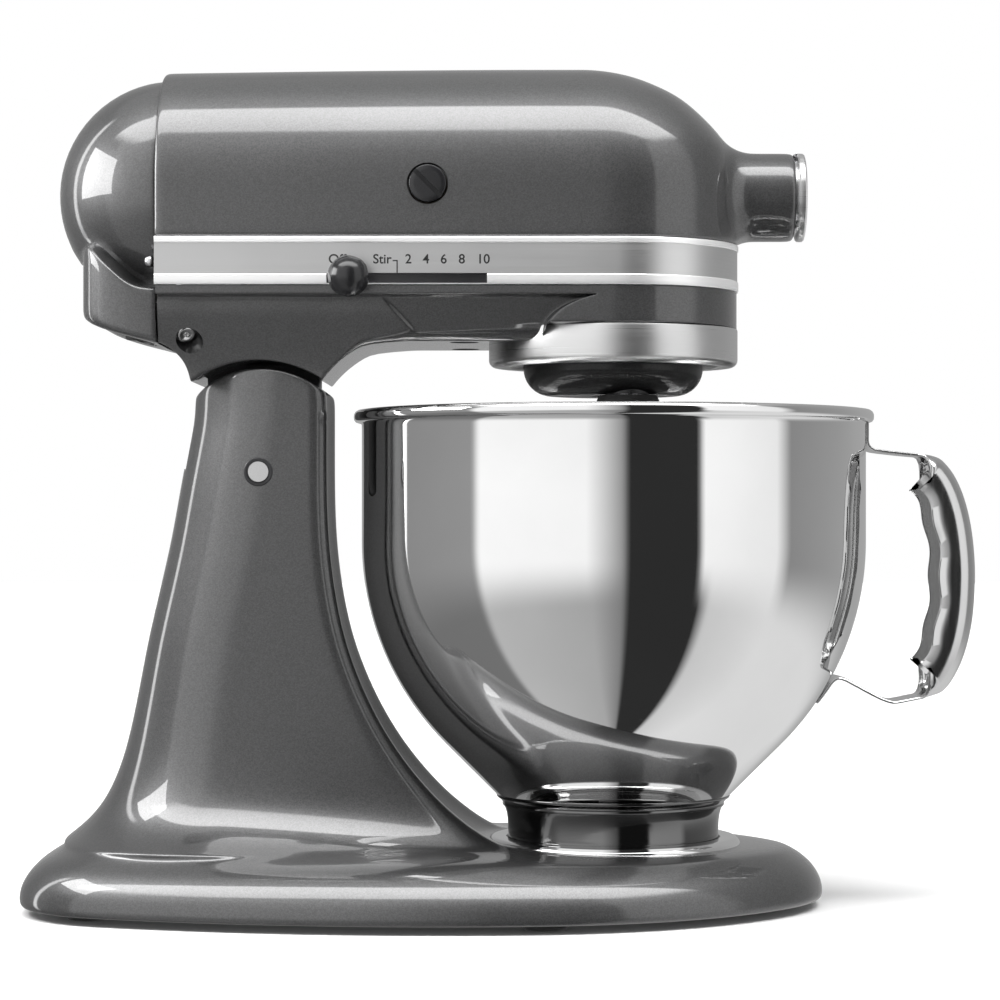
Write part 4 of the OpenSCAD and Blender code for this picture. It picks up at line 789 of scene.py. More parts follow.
class MIXER_OT_hub(bpy.types.Operator):
    """Attachment hub: a round neck that flows out of the nose, with its socket and the boss of the
    attachment screw
    """
    bl_idname = "mixer.hub"
    bl_label = "Attachment hub"

    def execute(self, context):
        sizes = context.scene.mixer_sizes
        shell = bpy.data.objects["upper_housing_shell"]
        bm = bmesh.new()
        bm.from_mesh(shell.data)
        tree = BVHTree.FromBMesh(bm)
        bm.free()
        radius = sizes.hub_radius * 1000
        origin = at(0, 0, HUB_Z)
        steps = 72
        rows = [[] for _ in range(SKIRT_ROWS + len(HUB_MOUTH))]
        for k in range(steps):
            a = 2 * math.pi * k / steps
            spoke = Vector((0, math.cos(a), math.sin(a)))
            # where the skirt leaves the nose
            foot = origin + spoke * (radius + 7.0) * 0.001
            hit, normal, _, _ = tree.ray_cast(foot + Vector((0.12, 0, 0)), Vector((-1, 0, 0)))
            if hit is None:
                hit, normal, _, _ = tree.find_nearest(foot + Vector((0.05, 0, 0)))
            root = hit + normal * 0.00005
            inward = (-spoke + normal * spoke.dot(normal)).normalized()
            end = origin + spoke * radius * 0.001
            end.x = max(root.x + 0.006, AXIS_X + 0.060)
            reach = (end - root).length
            for j in range(SKIRT_ROWS):
                t = j / (SKIRT_ROWS - 1)
                p = (root * (1 + 2 * t) * (1 - t) ** 2 + end * t * t * (3 - 2 * t)
                     + inward * (reach * 1.1 * t * (1 - t) ** 2)
                     - Vector((1, 0, 0)) * (reach * 1.1 * t * t * (1 - t)))
                rows[j].append(p)
            for row, (inset, x) in zip(rows[SKIRT_ROWS:], HUB_MOUTH):
                row.append(origin + spoke * (radius - inset) * 0.001 + Vector((x, 0, 0)))
        bm = bmesh.new()
        loft(bm, rows, closed=True)
        bmesh.ops.recalc_face_normals(bm, faces=bm.faces)
        ob = new_object("hub_neck", bm)
        subdivide(ob, 1)
        dress(ob, "graphite paint", "head", angle=60)
        # the turned mouth and socket inside the neck
        profile = [(17.4, 76.2), (16.4, 76.4), (16.3, 78.6), (16.1, 78.8), (13.7, 78.8),
                   (13.4, 78.5), (13.4, 77.9), (12.7, 77.5), (12.7, 49), (12.7, 48.2), (12.3, 48),
                   (10.4, 48), (10.2, 47.8), (10.2, 44), (0.0, 44)]
        turned("hub_socket", profile, (origin, (1, 0, 0), (0, 0, 1), 96), "turned steel", "head",
               angle=30)
        # boss of the attachment screw
        profile = rounded([(8.4, 12), (8.0, 20.4), (8.0, 21.7), (3.2, 21.7), (3.2, 14)], 0.7)
        turned("screw_boss", profile, (at(65.4, 0, HUB_Z), (0, 1, 0), (0, 0, 1), 64),
               "graphite paint", "head", angle=50)
        return {'FINISHED'}


# ---------------------------------------------------------------- rear cap and lower housing

CAP_CREASE = [(-230, 276.8), (-219.4, 276.8), (-213.5, 271.0), (-207.7, 266.1), (-202.5, 261.6),
              (-196, 259.2), (-189, 258.8)]
CAP_FLOOR = [(-223, 246), (-220.4, 244.6), (-216.7, 242.6), (-186, 234.8)]


def cap_reach(z, theta, tuck):
    """Distance from the seam's middle to the cap's surface at a height and a turn: a ball
    above, a squarish block with rounded corners below."""
    c, s = math.cos(theta), math.sin(theta)
    ball = max(0.3, 49.2 ** 2 - (z - 300) ** 2 - 16 * s * s) ** 0.5 - 4 * c
    box = ((c / 32.6) ** 4.6 + (s / 44.6) ** 4.6) ** (-1 / 4.6) - tuck
    return max(ball, box, 0.2)


class MIXER_OT_rear_cap(bpy.types.Operator):
    """Rear cap: a ball-shaped end that sinks into a block with air slots and a cord hole"""
    bl_idname = "mixer.rear_cap"
    bl_label = "Rear cap"

    def execute(self, context):
        turns = [0, 6, 12, 19, 26, 32, 37, 41, 45, 49, 53, 57, 61, 66, 71, 76, 81, 86, 90]
        rows = []
        tall = [("up", t, 999) for t in (1, 0.965, 0.9, 0.82, 0.73, 0.63, 0.53, 0.43, 0.34, 0.26,
                                         0.18, 0.11, 0.055)]
        tall += [("edge", 0.9, 999), ("edge", 0.1, 2.2), ("edge", -0.5, 0.7), ("edge", -1.6, 0.0)]
        tall += [("down", t, 0.0) for t in (0.14, 0.3, 0.46, 0.62, 0.76, 0.86)]
        tall += [("down", 0.93, 0.5), ("down", 0.98, 1.8), ("down", 1.0, 4.0), ("down", 1.0, 12.0),
                 ("down", 1.0, 22.0), ("down", 1.0, 31.0)]
        for kind, t, tuck in tall:
            row = []
            for turn in turns:
                th = math.radians(turn)
                x = -189.9 - cap_reach(276, th, 0.0) * math.cos(th)
                crease = table(x, CAP_CREASE)
                z = {"up": crease + (349.1 - crease) * math.sin(t * math.pi / 2),
                     "edge": crease + t,
                     "down": crease - 1.6 - (crease - 1.6 - table(x, CAP_FLOOR)) * t}[kind]
                r = cap_reach(z, th, tuck)
                if t == 1.0 and kind == "down":
                    r = max(0.5, cap_reach(z, th, 0.0) * (1 - tuck / 33.0))
                row.append(at(-189.9 - r * math.cos(th), r * math.sin(th), z))
            last = row[-1]
            row += [last + Vector((0.0003, -0.0004, 0)), last + Vector((0.00035, -0.0012, 0))]
            for p in row[-2:]:
                p.y = max(0.0, p.y)
            rows.append(row)
        bm = bmesh.new()
        loft(bm, rows, closed=False)
        mirrored_half(bm)
        ob = new_object("rear_cap", bm)
        subdivide(ob, 1)
        settle(ob)
        bm = bmesh.new()
        bm.from_mesh(ob.data)
        close_holes(bm)
        bm.to_mesh(ob.data)
        bm.free()
        tools = [block(at(-240, -22, 249 + 5 * k), at(-214, 22, 251.4 + 5 * k)) for k in range(5)]
        tools.append(rod(at(-222, 0, 328), (1, 0, 0), 4.6, 20))
        tools.append(rod(at(CORD_X, CORD_Y, 240), (0, 0, 1), 6.9, 14))
        cut(ob, *tools, closed=True)
        dress(ob, "graphite paint", "head", "end_cap", angle=34)
        return {'FINISHED'}


# heights of the underside along the mixer: rear lip, the arc over the column, front curve, floor
UNDERSIDE = [(-189.4, 236.6), (-186, 235.1), (-183.4, 233.4), (-180.5, 230.6), (-178, 227.1),
             (-176.8, 223.6), (-176.2, 220.6)]
FRONT_CURVE = [(-121.4, 221.2), (-119.5, 223.6), (-117, 226.4), (-112.4, 230.4), (-108, 233.4),
               (-103.8, 235.5), (-98, 236.8), (-90, 237.0), (60, 237.0)]


def underside(x):
    if x < -176.1:
        return table(x, UNDERSIDE)
    if x > -121.5:
        return table(x, FRONT_CURVE)
    return HINGE_Z + math.sqrt(46.3 ** 2 - (x - HINGE_X) ** 2)


def ease(t):
    t = min(1.0, max(0.0, t))
    return t * t * (3 - 2 * t)


SWOOSH = [(237, -30.6), (243.8, -28.9), (247.8, -25.6), (251, -21.2), (253.6, -15.2),
          (255.3, -8.7)]


def crease_x(z):
    """Where the neck's side gives way to the tub, at a height."""
    return -95.7 + (254.1 - min(z, 254.5)) * 0.93


def tub_width(x, z, jump):
    """Half width of the lower housing's side below the ledge; jump tells which side of the
    round nose's edge the point lies on."""
    neck = 37.0 + 8.6 * ease((z - 221) / 32.0)
    fall = max(0.0, (256 - z) / 16.0)
    tub = 45.8 - 2.6 * fall - 1.6 * fall * fall
    side = neck + (tub - neck) * ease((x - crease_x(z)) / 2.0 + 0.5)
    return side + (HEAD_HALF - side) * jump


def stations(z):
    """Positions along the lower housing's side at one height, with how far each has passed
    the edge of the round nose."""
    fixed = [-189.3, -189.0, -187.6, -185.5, -183, -180.5, -178.4, -176.9, -176.2, -175.9, -172,
             -167, -160, -152, -144, -136, -129, -124.5, -122.2, -121.5, -120.8, -119, -116, -112,
             -107.5, -103]
    c = crease_x(max(z, 240.0))
    s = table(z, SWOOSH)
    out = [(x, 0.0) for x in fixed]
    out += [(c + d, 0.0) for d in (-4.0, -1.7, -0.9, -0.3, 0.3, 0.9, 1.7, 4.5)]
    first = out[-1][0]
    out += [(first + (s - 4 - first) * k / 7, 0.0) for k in range(1, 7)]
    out += [(s - 4, 0.0), (s - 1.8, 0.0), (s - 0.9, 0.02), (s - 0.3, 0.3), (s + 0.2, 0.82),
            (s + 0.6, 0.98), (s + 1.2, 1.0), (s + 3, 1.0)]
    out += [((s + 3) * (1 - k / 4), 1.0) for k in range(1, 5)]
    return out


class MIXER_OT_lower_housing(bpy.types.Operator):
    """Lower housing: ledge under the band, recessed tub, neck over the column and round nose"""
    bl_idname = "mixer.lower_housing"
    bl_label = "Lower housing"

    def execute(self, context):
        nose = [(HEAD_HALF * math.sin(math.radians(6 * k)), math.cos(math.radians(6 * k)))
                for k in range(1, 16)]

        def row_of(height, width):
            """One row by rules for height and width: the side's stations, then the nose."""
            row = []
            low = [height(x, j) for x, j in stations(245)]
            for k in range(len(low)):
                x, j = stations(low[k])[k]
                row.append(at(x, width(x, low[k], j), low[k]))
            for x, c in nose:
                z = height(x, 1.0)
                row.append(at(x, width(x, z, 1.0) * c, z))
            return row

        def foot(x, j):
            return 244.0 if j > 0.5 else underside(x)

        def curl(x, j):
            return 0.7 if j > 0.5 else 1.3 + 3.9 * ease((x + 116) / 16.0)

        rows = []
        for inset, z in ((0.9, 259.15), (0.25, 259.15), (0.02, 258.8), (0, 257.6), (0, 256.2),
                         (0.08, 255.6), (0.5, 255.3), (2.0, 255.2)):
            rows.append(row_of(lambda x, j: z, lambda x, h, j: HEAD_HALF
                               - inset * (1 - (j > 0.5) * (z < 256))))
        for t in (0.0, 0.03, 0.14, 0.3, 0.46, 0.62, 0.78, 0.9, 1.0):
            rows.append(row_of(
                lambda x, j: 255.1 - (255.1 - foot(x, j) - curl(x, j)) * t,
                lambda x, h, j: tub_width(x, h, j) + (1.2 * (1 - j) if t == 0 else 0.0)))
        for a in (30, 60, 90):
            c, s_ = math.cos(math.radians(a)), math.sin(math.radians(a))
            rows.append(row_of(
                lambda x, j: foot(x, j) + curl(x, j) * (1 - s_),
                lambda x, h, j: tub_width(x, foot(x, j) + curl(x, j), j) - curl(x, j) * (1 - c)))
        for f in (0.86, 0.6, 0.3, 0.0):
            rows.append(row_of(
                lambda x, j: foot(x, j) - (1.0 if j > 0.5 else 0.0),
                lambda x, h, j: f * (tub_width(x, foot(x, j) + 3, j) - 1.0)))
        bm = bmesh.new()
        loft(bm, rows, closed=False)
        mirrored_half(bm)
        close_holes(bm)
        ob = new_object("lower_housing_shell", bm)
        subdivide(ob, 1)
        settle(ob)
        tools = []
        axes = []
        for s in (-1, 1):
            axis = Vector((0.375, s * 0.70, -0.61)).normalized()
            mouth = at(-175.6, s * 42.0, 236.2)
            axes.append((mouth, axis, s))
            tools.append(rod(mouth - axis * 0.003, axis, 5.2, 18))
        for s in (-1, 1):
            tools.append(rod(at(-63, s * 26, 237), (0, 0, 1), 6.0, 14))
        cut(ob, *tools, closed=True)
        dress(ob, "graphite paint", "head", "lower_housing", angle=34)
        for mouth, axis, s in axes:
            side = Vector((0, 0, 1)).cross(axis)
            profile = rounded([(0, 2.4), (0.9, 2.2), (1.0, 3.0), (3.3, 3.4), (4.6, 2.3),
                               (4.8, 0.6), (4.8, -2)], 0.4)
            turned(sided("neck_screw", s), profile, (mouth - axis * 0.0085, axis, side, 48),
                   "bright screw", "head", angle=40)
        # tongue that reaches down into the slot of the column, round the hinge pin
        ring = arc(0, 0, 23.6, range(-180, 1, 10))
        bm = hinge_slab(ring + [(23.6, 18), (23.6, 46), (-23.6, 46), (-23.6, 18)], TONGUE_HALF)
        tidy_normals(bm)
        bevelled(bm, 50, 1.0)
        ob = new_object("tilt_tongue", bm)
        dress(ob, "dark paint", "head", angle=30)
        return {'FINISHED'}


# ---------------------------------------------------------------- trim, dial and knobs

BAND_PROFILE = [(51.2, 259.5), (52.5, 259.25), (52.95, 259.4), (53.15, 259.75), (53.15, 261.5),
                (53.15, 263.2), (52.95, 263.5), (52.7, 263.6), (52.7, 264.2), (52.7, 268),
                (52.7, 272), (52.7, 275.8), (52.7, 276.3), (52.95, 276.4), (53.15, 276.7),
                (53.15, 277.6), (53.15, 278.5), (52.95, 278.85), (52.4, 279.0), (51.2, 278.8)]


def half_plan(r, rear):
    """Half of the head's outline at a half width: straight side, then the round nose."""
    steps = 24
    pts = [(rear, r)] + [(rear * (1 - k / 12), r) for k in range(1, 12)]
    return pts + [(r * math.sin(math.pi / 2 * k / steps), r * math.cos(math.pi / 2 * k / steps))
                  for k in range(steps + 1)]


class MIXER_OT_trim_band(bpy.types.Operator):
    """Trim band round the head: brushed face, two raised lips and the slot of the speed lever"""
    bl_idname = "mixer.trim_band"
    bl_label = "Trim band"

    def execute(self, context):
        bm = bmesh.new()
        rows = [[at(x, y, z) for x, y in half_plan(r, -189.35)] for r, z in BAND_PROFILE]
        loft(bm, rows + [rows[0]], closed=False)
        mirrored_half(bm)
        close_holes(bm)
        ob = new_object("band", bm)
        cut(ob, block(at(-119, -56, 259.75), at(-53.4, -50.5, 263.9)), closed=True)
        dress(ob, "satin band", "head", "trim_band", angle=30)
        ob.data.materials.append(finish_of("band lip with painted highlight"))
        # the faces of the upper and lower lips take the lighter lip finish: partly their polish,
        # partly painted highlight
        for p in ob.data.polygons:
            z = p.center.z * 1000
            if z < 263.65 or z > 276.25:
                p.material_index = 1
        # dark backing behind the slot
        bm = bmesh.new()
        rows = [[at(x, -51.4 + d, z) for x, z in ((-120, 259.4), (-52.6, 259.4), (-52.6, 264.3),
                                                   (-120, 264.3))] for d in (0, 0.5)]
        loft(bm, rows, closed=True)
        close_holes(bm)
        bevelled(bm, 40, 0.2, 2)
        ob = new_object("slot_backing", bm)
        dress(ob, "satin black", "head")
        return {'FINISHED'}


DIAL_MARKS = [("Off", -114.6, 5.4), ("Stir", -96.2, 5.4), ("2", -85.5, 5.4), ("4", -78.3, 5.4),
              ("6", -71.1, 5.4), ("8", -63.7, 5.4), ("10", -54.9, 5.4)]


def lettering(word, x, z, size):
    """A printed word on the near face of the band, turned into a mesh and set in place."""
    curve = bpy.data.curves.new("print_" + word, 'FONT')
    curve.body = word
    curve.size = size * 0.001
    curve.align_x = 'CENTER'
    curve.align_y = 'CENTER'
    curve.extrude = 0.00002
    curve.offset = 0.00007
    ob = bpy.data.objects.new("print_" + word, curve)
    bpy.context.scene.collection.objects.link(ob)
    bpy.context.view_layer.update()
    graph = bpy.context.evaluated_depsgraph_get()
    me = bpy.data.meshes.new_from_object(ob.evaluated_get(graph))
    bpy.data.objects.remove(ob)
    bpy.data.curves.remove(curve)
    me.transform(Matrix.Translation(at(x, -52.73, z)) @ Matrix.Rotation(math.radians(90), 4, 'X'))
    done = bpy.data.objects.new("mark_" + word.lower(), me)
    bpy.context.scene.collection.objects.link(done)
    return dress(done, "black ink", "head")


class MIXER_OT_dial(bpy.types.Operator):
    """Printed speed marks over the slot, with the bent tick of the first speed"""
    bl_idname = "mixer.dial"
    bl_label = "Speed marks"

    def execute(self, context):
        for word, x, size in DIAL_MARKS:
            lettering(word, x, 269.4, size)
        bm = bmesh.new()
        wide = 0.25
        outer = [(-91.9, 268.9 + wide), (-90.1 + wide, 268.9 + wide), (-90.1 + wide, 263.9)]
        inner = [(-91.9, 268.9 - wide), (-90.1 - wide, 268.9 - wide), (-90.1 - wide, 263.9)]
        rows = [[at(x, y, z) for x, z in outer + inner[::-1]] for y in (-52.68, -52.75)]
        loft(bm, rows, closed=True)
        close_holes(bm)
        ob = new_object("mark_tick", bm)
        dress(ob, "black ink", "head")
        return {'FINISHED'}


def screw_slot(ob, centre, axis, across, wide, deep):
    """Cuts a straight screwdriver slot across a round head."""
    axis = Vector(axis).normalized()
    across = Vector(across).normalized()
    third = axis.cross(across)
    bm = bmesh.new()
    turn = Matrix((across, third, axis)).transposed().to_4x4()
    bmesh.ops.create_cube(bm, size=1.0, matrix=Matrix.Translation(centre) @ turn
                          @ Matrix.Diagonal((0.05, wide * 0.001, deep * 0.002, 1)))
    cut(ob, new_object("tool", bm), closed=True)


class MIXER_OT_knobs(bpy.types.Operator):
    """Black speed knob on its steel stem, and the two slotted brush caps"""
    bl_idname = "mixer.knobs"
    bl_label = "Knobs and caps"

    def execute(self, context):
        low, high = (Vector(v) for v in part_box("speed_knob"))
        mid = (low + high) / 2
        r = (high.x - low.x) / 2 * 1000
        # a ball with six shallow flats round its waist
        bm = bmesh.new()
        ball = mid.copy()
        ball.y = low.y + r * 0.001
        stem = (high.y - low.y) * 1000 - r
        profile = [(r * math.sin(math.radians(a)), r * math.cos(math.radians(a)))
                   for a in range(0, 151, 6)]
        profile += [(r * 0.46, -r * 0.93), (r * 0.42, -stem + 0.2), (r * 0.36, -stem), (0, -stem)]
        lathe(bm, profile, ball, (0, -1, 0), (0, 0, 1), 72)
        for k in range(6):
            a = math.radians(60 * k + 12)
            n = Vector((math.cos(a), -0.22 if k % 2 else 0.12, math.sin(a))).normalized()
            geom = bm.verts[:] + bm.edges[:] + bm.faces[:]
            bmesh.ops.bisect_plane(bm, geom=geom, plane_co=ball + n * (r * 0.00093), plane_no=n,
                                   clear_outer=True)
            bmesh.ops.holes_fill(bm, edges=[e for e in bm.edges if e.is_boundary], sides=0)
        tidy_normals(bm)
        ob = new_object("speed_ball", bm)
        dress(ob, "black plastic", "speed_control", "speed_knob", angle=17)
        # stem from the slide behind the band out to the ball, as narrow as the slot's end needs
        low, high = (Vector(v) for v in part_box("speed_lever"))
        x, z, slide_y = low.x + 0.03, (low.z + high.z) / 2, high.y - 0.0012
        bm = bmesh.new()
        for a, b in (((x - 0.003, low.y, z - 0.0006), (x + 0.0012, slide_y + 0.0001, z + 0.0006)),
                     ((low.x, slide_y, low.z), (high.x, high.y, high.z))):
            a, b = Vector(a), Vector(b)
            bmesh.ops.create_cube(bm, size=1.0, matrix=Matrix.Translation((a + b) / 2)
                                  @ Matrix.Diagonal((*(b - a), 1)))
        bevelled(bm, 50, 0.25)
        ob = new_object("speed_stem", bm)
        dress(ob, "turned steel", "speed_control", "speed_lever")
        for s in (-1, 1):
            bm = bmesh.new()
            profile = rounded([(0, 54.3), (5.8, 54.25), (7.5, 53.9), (7.75, 52.4), (7.75, 51.0),
                               (0, 51.0)], 0.35)
            lathe(bm, profile, at(BRUSH_X, 0, BRUSH_Z), (0, s, 0), (0, 0, 1), 72)
            tidy_normals(bm)
            ob = new_object(sided("brush_disc", s), bm)
            screw_slot(ob, at(BRUSH_X, s * 54.4, BRUSH_Z), (0, s, 0), (1, 0, -1), 1.9, 1.5)
            dress(ob, "black plastic", "head", *(("brush_caps",) if s < 0 else ()), angle=34)
        return {'FINISHED'}


class MIXER_OT_fittings(bpy.types.Operator):
    """Drip ring, planetary dish, hinge rings, small screws, cord liner and the hub's cover"""
    bl_idname = "mixer.fittings"
    bl_label = "Ring, dish and screws"

    def execute(self, context):
        axis = at(0, 0, 0)
        profile = ([(46.2, 243.7), (51.9, 243.7), (52.6, 243.5), (52.8, 243.0), (52.8, 237)]
                   + arc(49.8, 230.7, 3, range(0, -91, -15))
                   + [(45.6, 227.75), (44.4, 228.1), (43.6, 229.0), (43.4, 230.4), (43.4, 238.5),
                      (46.2, 243.7)])
        turned("drip_band", profile, (axis, (0, 0, 1), (1, 0, 0), 128), "satin ring", "head",
               "drip_ring", angle=32)
        profile = ([(0, 231), (30, 231.0), (36.9, 231.0), (37.9, 230.5), (38.1, 229.6)]
                   + arc(26.6, 227.2, 11.5, range(0, -91, -9))
                   + [(20, 215.55), (9.5, 215.6), (8.8, 216.2), (8.6, 217.4), (0, 217.6)])
        turned("dish_shell", profile, (axis, (0, 0, 1), (1, 0, 0), 112), "dark paint",
               "planetary", "planetary_dish", angle=34)
        # ring that lines the hinge hole on both sides of the column
        for s in (-1, 1):
            profile = rounded([(4.35, 33), (4.35, 37.2), (5.7, 37.3), (6.1, 36.9), (6.1, 33)], 0.3)
            turned(sided("hinge_ring", s), profile,
                   (at(HINGE_X, 0, HINGE_Z), (0, s, 0), (0, 0, 1), 64), "satin black", "stand")
            profile = rounded([(0, 1.9), (1.2, 1.7), (2.0, 1.0), (2.2, 0.1), (2.2, -2.0)], 0.4)
            turned(sided("band_screw", s), profile,
                   (at(-191.8, s * 46.0, 269.2), (-0.25, s, 0), (0, 0, 1), 32),
                   "turned steel", "head")
        # liner of the cord hole
        profile = [(3.5, 247), (3.5, 241.6), (4.2, 241.1), (6.1, 241.1), (6.6, 241.6), (6.6, 247),
                   (3.5, 247)]
        turned("cord_liner", profile, (at(CORD_X, CORD_Y, 0), (0, 0, 1), (1, 0, 0), 48), "rubber",
               "head", "cord_gland")
        # cover of the hub: a turned disc with a shallow dish, on a short hinge pin
        profile = [(0, 77.6), (17.4, 77.6), (18.3, 77.75), (18.7, 78.3), (18.75, 79.2),
                   (18.7, 80.2), (18.3, 80.8), (17.6, 81.0), (16.2, 81.0), (15.2, 80.9),
                   (14.6, 80.6), (14, 80.2), (12.5, 80.1), (6, 80.1), (2.2, 80.1), (1.2, 80.3),
                   (0, 80.35)]
        turned("hub_lid", profile, (at(0, 0, HUB_Z), (1, 0, 0), (0, 0, 1), 112), "satin ring",
               "hub_cover", "hub_cover", angle=30)
        profile = rounded([(0, -5.2), (0.9, -5.2), (0.9, 5.2), (0, 5.2)], 0.3, 3)
        turned("hub_lid_pin", profile, (at(77.3, 0, 317.6), (0, 1, 0), (0, 0, 1), 24),
               "turned steel", "head", "hub_cover_pin")
        return {'FINISHED'}


# ---------------------------------------------------------------- bowl

BOWL_CURVE, BOWL_KNUCKLE = 121.0, 154.0
BOWL_SHEET = 1.2
# the bowl radius that the rim and the handle are drawn for
DRAWN_RADIUS = 106.8
LUG_COUNT, LUG_ANGLE = 4, 24.0
LUG_IN, LUG_OUT, LUG_Z, LUG_HEIGHT = 43.9, 48.1, 26.2, 1.6


def bowl_line(radius, t):
    """Bowl wall from the middle of the floor to below the rim, drawn in by t."""
    cone_z = BOWL_KNUCKLE - BOWL_CURVE * math.sin(math.radians(45))
    cone_r = radius - BOWL_CURVE * (1 - math.cos(math.radians(45)))
    end_z = cone_z - (cone_r - 46.7)
    reach = math.asin((34 + t) / (40 + t))
    pts = []
    for k in range(9):
        a = math.pi / 2 - k / 8 * (math.pi / 2 - reach)
        pts.append(((40 + t) * math.cos(a), (40 + t) * math.sin(a) + end_z - 36))
    k = t * 0.7071
    pts += [(41.7 - t, end_z - 2 + t), (44.0 - t, end_z - 1.6 + t), (46.7 - k, end_z + k)]
    for s in range(41):
        a = math.radians(45 * (1 - s / 40))
        pts.append((radius - BOWL_CURVE + (BOWL_CURVE - t) * math.cos(a),
                    BOWL_KNUCKLE - (BOWL_CURVE - t) * math.sin(a)))
    return pts


def lug_sector(bm, middle, steps=10):
    """One lug: a section swept round the bowl axis, centred on an angle in degrees."""
    turn = Matrix.Rotation(math.radians(middle - LUG_ANGLE / 2), 4, 'Z')
    corners = ((LUG_IN, LUG_Z), (LUG_OUT, LUG_Z), (LUG_OUT, LUG_Z + LUG_HEIGHT),
               (LUG_IN, LUG_Z + LUG_HEIGHT))
    first = [bm.verts.new(at(*(turn @ Vector((r, 0, z))))) for r, z in corners]
    face = bm.faces.new(first)
    bmesh.ops.spin(bm, geom=[face] + list(face.edges) + first, cent=at(0, 0, 0), axis=(0, 0, 1),
                   angle=math.radians(LUG_ANGLE), steps=steps, use_merge=False,
                   use_duplicate=False)


class MIXER_OT_bowl(bpy.types.Operator):
    """Polished bowl with a rolled rim, and its foot ring with the bead and four lugs"""
    bl_idname = "mixer.bowl"
    bl_label = "Bowl"

    def execute(self, context):
        radius = context.scene.mixer_sizes.bowl_radius * 1000
        axis = at(0, 0, 0)
        outer = bowl_line(radius, 0.0)
        inner = bowl_line(radius, BOWL_SHEET)
        grow = radius - DRAWN_RADIUS
        rim = [(106.8, 172), (106.8, 190), (106.8, 201.5), (106.85, 203.2), (107.2, 204.0),
               (108.4, 204.1), (109.5, 204.5), (110.1, 205.4), (110.2, 206.6), (110.1, 207.6),
               (109.6, 208.6), (108.7, 209.25), (107.5, 209.4), (106.4, 209.0), (105.8, 208.2),
               (105.6, 207.0), (105.6, 200), (105.6, 186), (105.6, 170)]
        profile = outer + [(r + grow, z) for r, z in rim] + inner[::-1]
        turned("bowl_body", profile, (axis, (0, 0, 1), (1, 0, 0), 192), "polished steel", "bowl",
               "bowl_shell", angle=40)
        foot = [(42.9, 26.0), (44.2, 25.9), (44.7, 26.4), (44.75, 28), (44.7, 31), (44.75, 34),
                (44.95, 36.6), (45.3, 38.8), (45.9, 40.8), (46.4, 41.9), (46.9, 42.1),
                (47.15, 42.6), (47.0, 43.2), (47.2, 43.7), (47.9, 44.6), (48.6, 45.2),
                (49.2, 45.5), (49.6, 46.0), (49.6, 46.5), (49.2, 46.8), (47.6, 46.0),
                (44.6, 43.6), (43.2, 40), (42.9, 35), (42.9, 26.0)]
        # the foot ring and its lugs are polished steel darkened to a fifth: painted dark reflection
        # of the base
        turned("bowl_base_ring", foot, (axis, (0, 0, 1), (1, 0, 0), 160), "steel with painted dark reflection", "bowl",
               "bowl_foot", angle=40)
        # four lugs of the bayonet, at the foot's lower edge
        bm = bmesh.new()
        for k in range(LUG_COUNT):
            lug_sector(bm, 360 / LUG_COUNT * k)
        tidy_normals(bm)
        ob = new_object("bowl_lugs", bm)
        dress(ob, "steel with painted dark reflection", "bowl", angle=30)
        return {'FINISHED'}


class MIXER_OT_plate(bpy.types.Operator):
    """Bayonet plate that the bowl turns into: a polished disc with a bevelled edge"""
    bl_idname = "mixer.plate"
    bl_label = "Bowl plate"

    def execute(self, context):
        ring = [(0, 25.2), (0, 24.4), (53.2, 24.4), (53.9, 25.0), (53.9, 26.4), (53.5, 27.2),
                (52.4, 28.4), (51.6, 28.9), (51.0, 29.0), (46.2, 29.0), (45.5, 28.8), (45.3, 28.4),
                (45.3, 27.9), (48.5, 27.8), (48.5, 25.6), (48.1, 25.4), (44.0, 25.4), (0, 25.2)]
        turned("bayonet_plate", ring, (at(0, 0, 0), (0, 0, 1), (1, 0, 0), 160), "polished steel",
               "stand", "bowl_clamp_plate", angle=30)
        return {'FINISHED'}


HANDLE_PATH = [(108.1, 204.2), (108.1, 202), (108.1, 199), (108.1, 196.4), (108.6, 194.6),
               (110.0, 193.4), (112.4, 192.8), (117, 192.2), (122.5, 191.6), (128.1, 191.1),
               (133.6, 190.6), (138.0, 189.3), (141.1, 186.6), (144.4, 182.2), (147.2, 176.6),
               (149.5, 170), (151.3, 162.5), (152.5, 154.5), (153.2, 146.5), (153.4, 139),
               (153.1, 131), (152.4, 122.5), (151, 114.2), (148.9, 106.4), (146.1, 99.6),
               (142.7, 93.8), (139.4, 90.2), (135.0, 88.5), (130.6, 87.6), (125.5, 86.6),
               (121, 85.7), (117.4, 85.4), (112.8, 87.0), (107.5, 89.9), (102.5, 92.6),
               (97.8, 95.0), (95.0, 95.4), (92.9, 93.8), (90.9, 91.0), (88.8, 88.1), (86.6, 85.4)]
STRAP_HALF = [(0, 0), (3, 0), (6, 0), (9, 0), (11.4, 0), (12.2, 0.08), (12.5, 0.4), (12.5, 0.8),
              (12.2, 1.12), (11.4, 1.2), (9, 1.2), (6, 1.2), (3, 1.2), (1, 1.2), (0, 1.2)]
GRIP_HALF = [(0, 0), (5.5, 0.25), (10, 1.0), (13.6, 2.7), (16, 5.4), (17.0, 8.8), (17.0, 13.0),
             (16.6, 16.0), (16.0, 16.6), (15.5, 16.0), (15.5, 12.0), (15.0, 8.0), (12.8, 4.6),
             (7, 2.3), (0, 1.8)]


# where the strap starts to widen into the grip
GRIP_FROM = 129.0


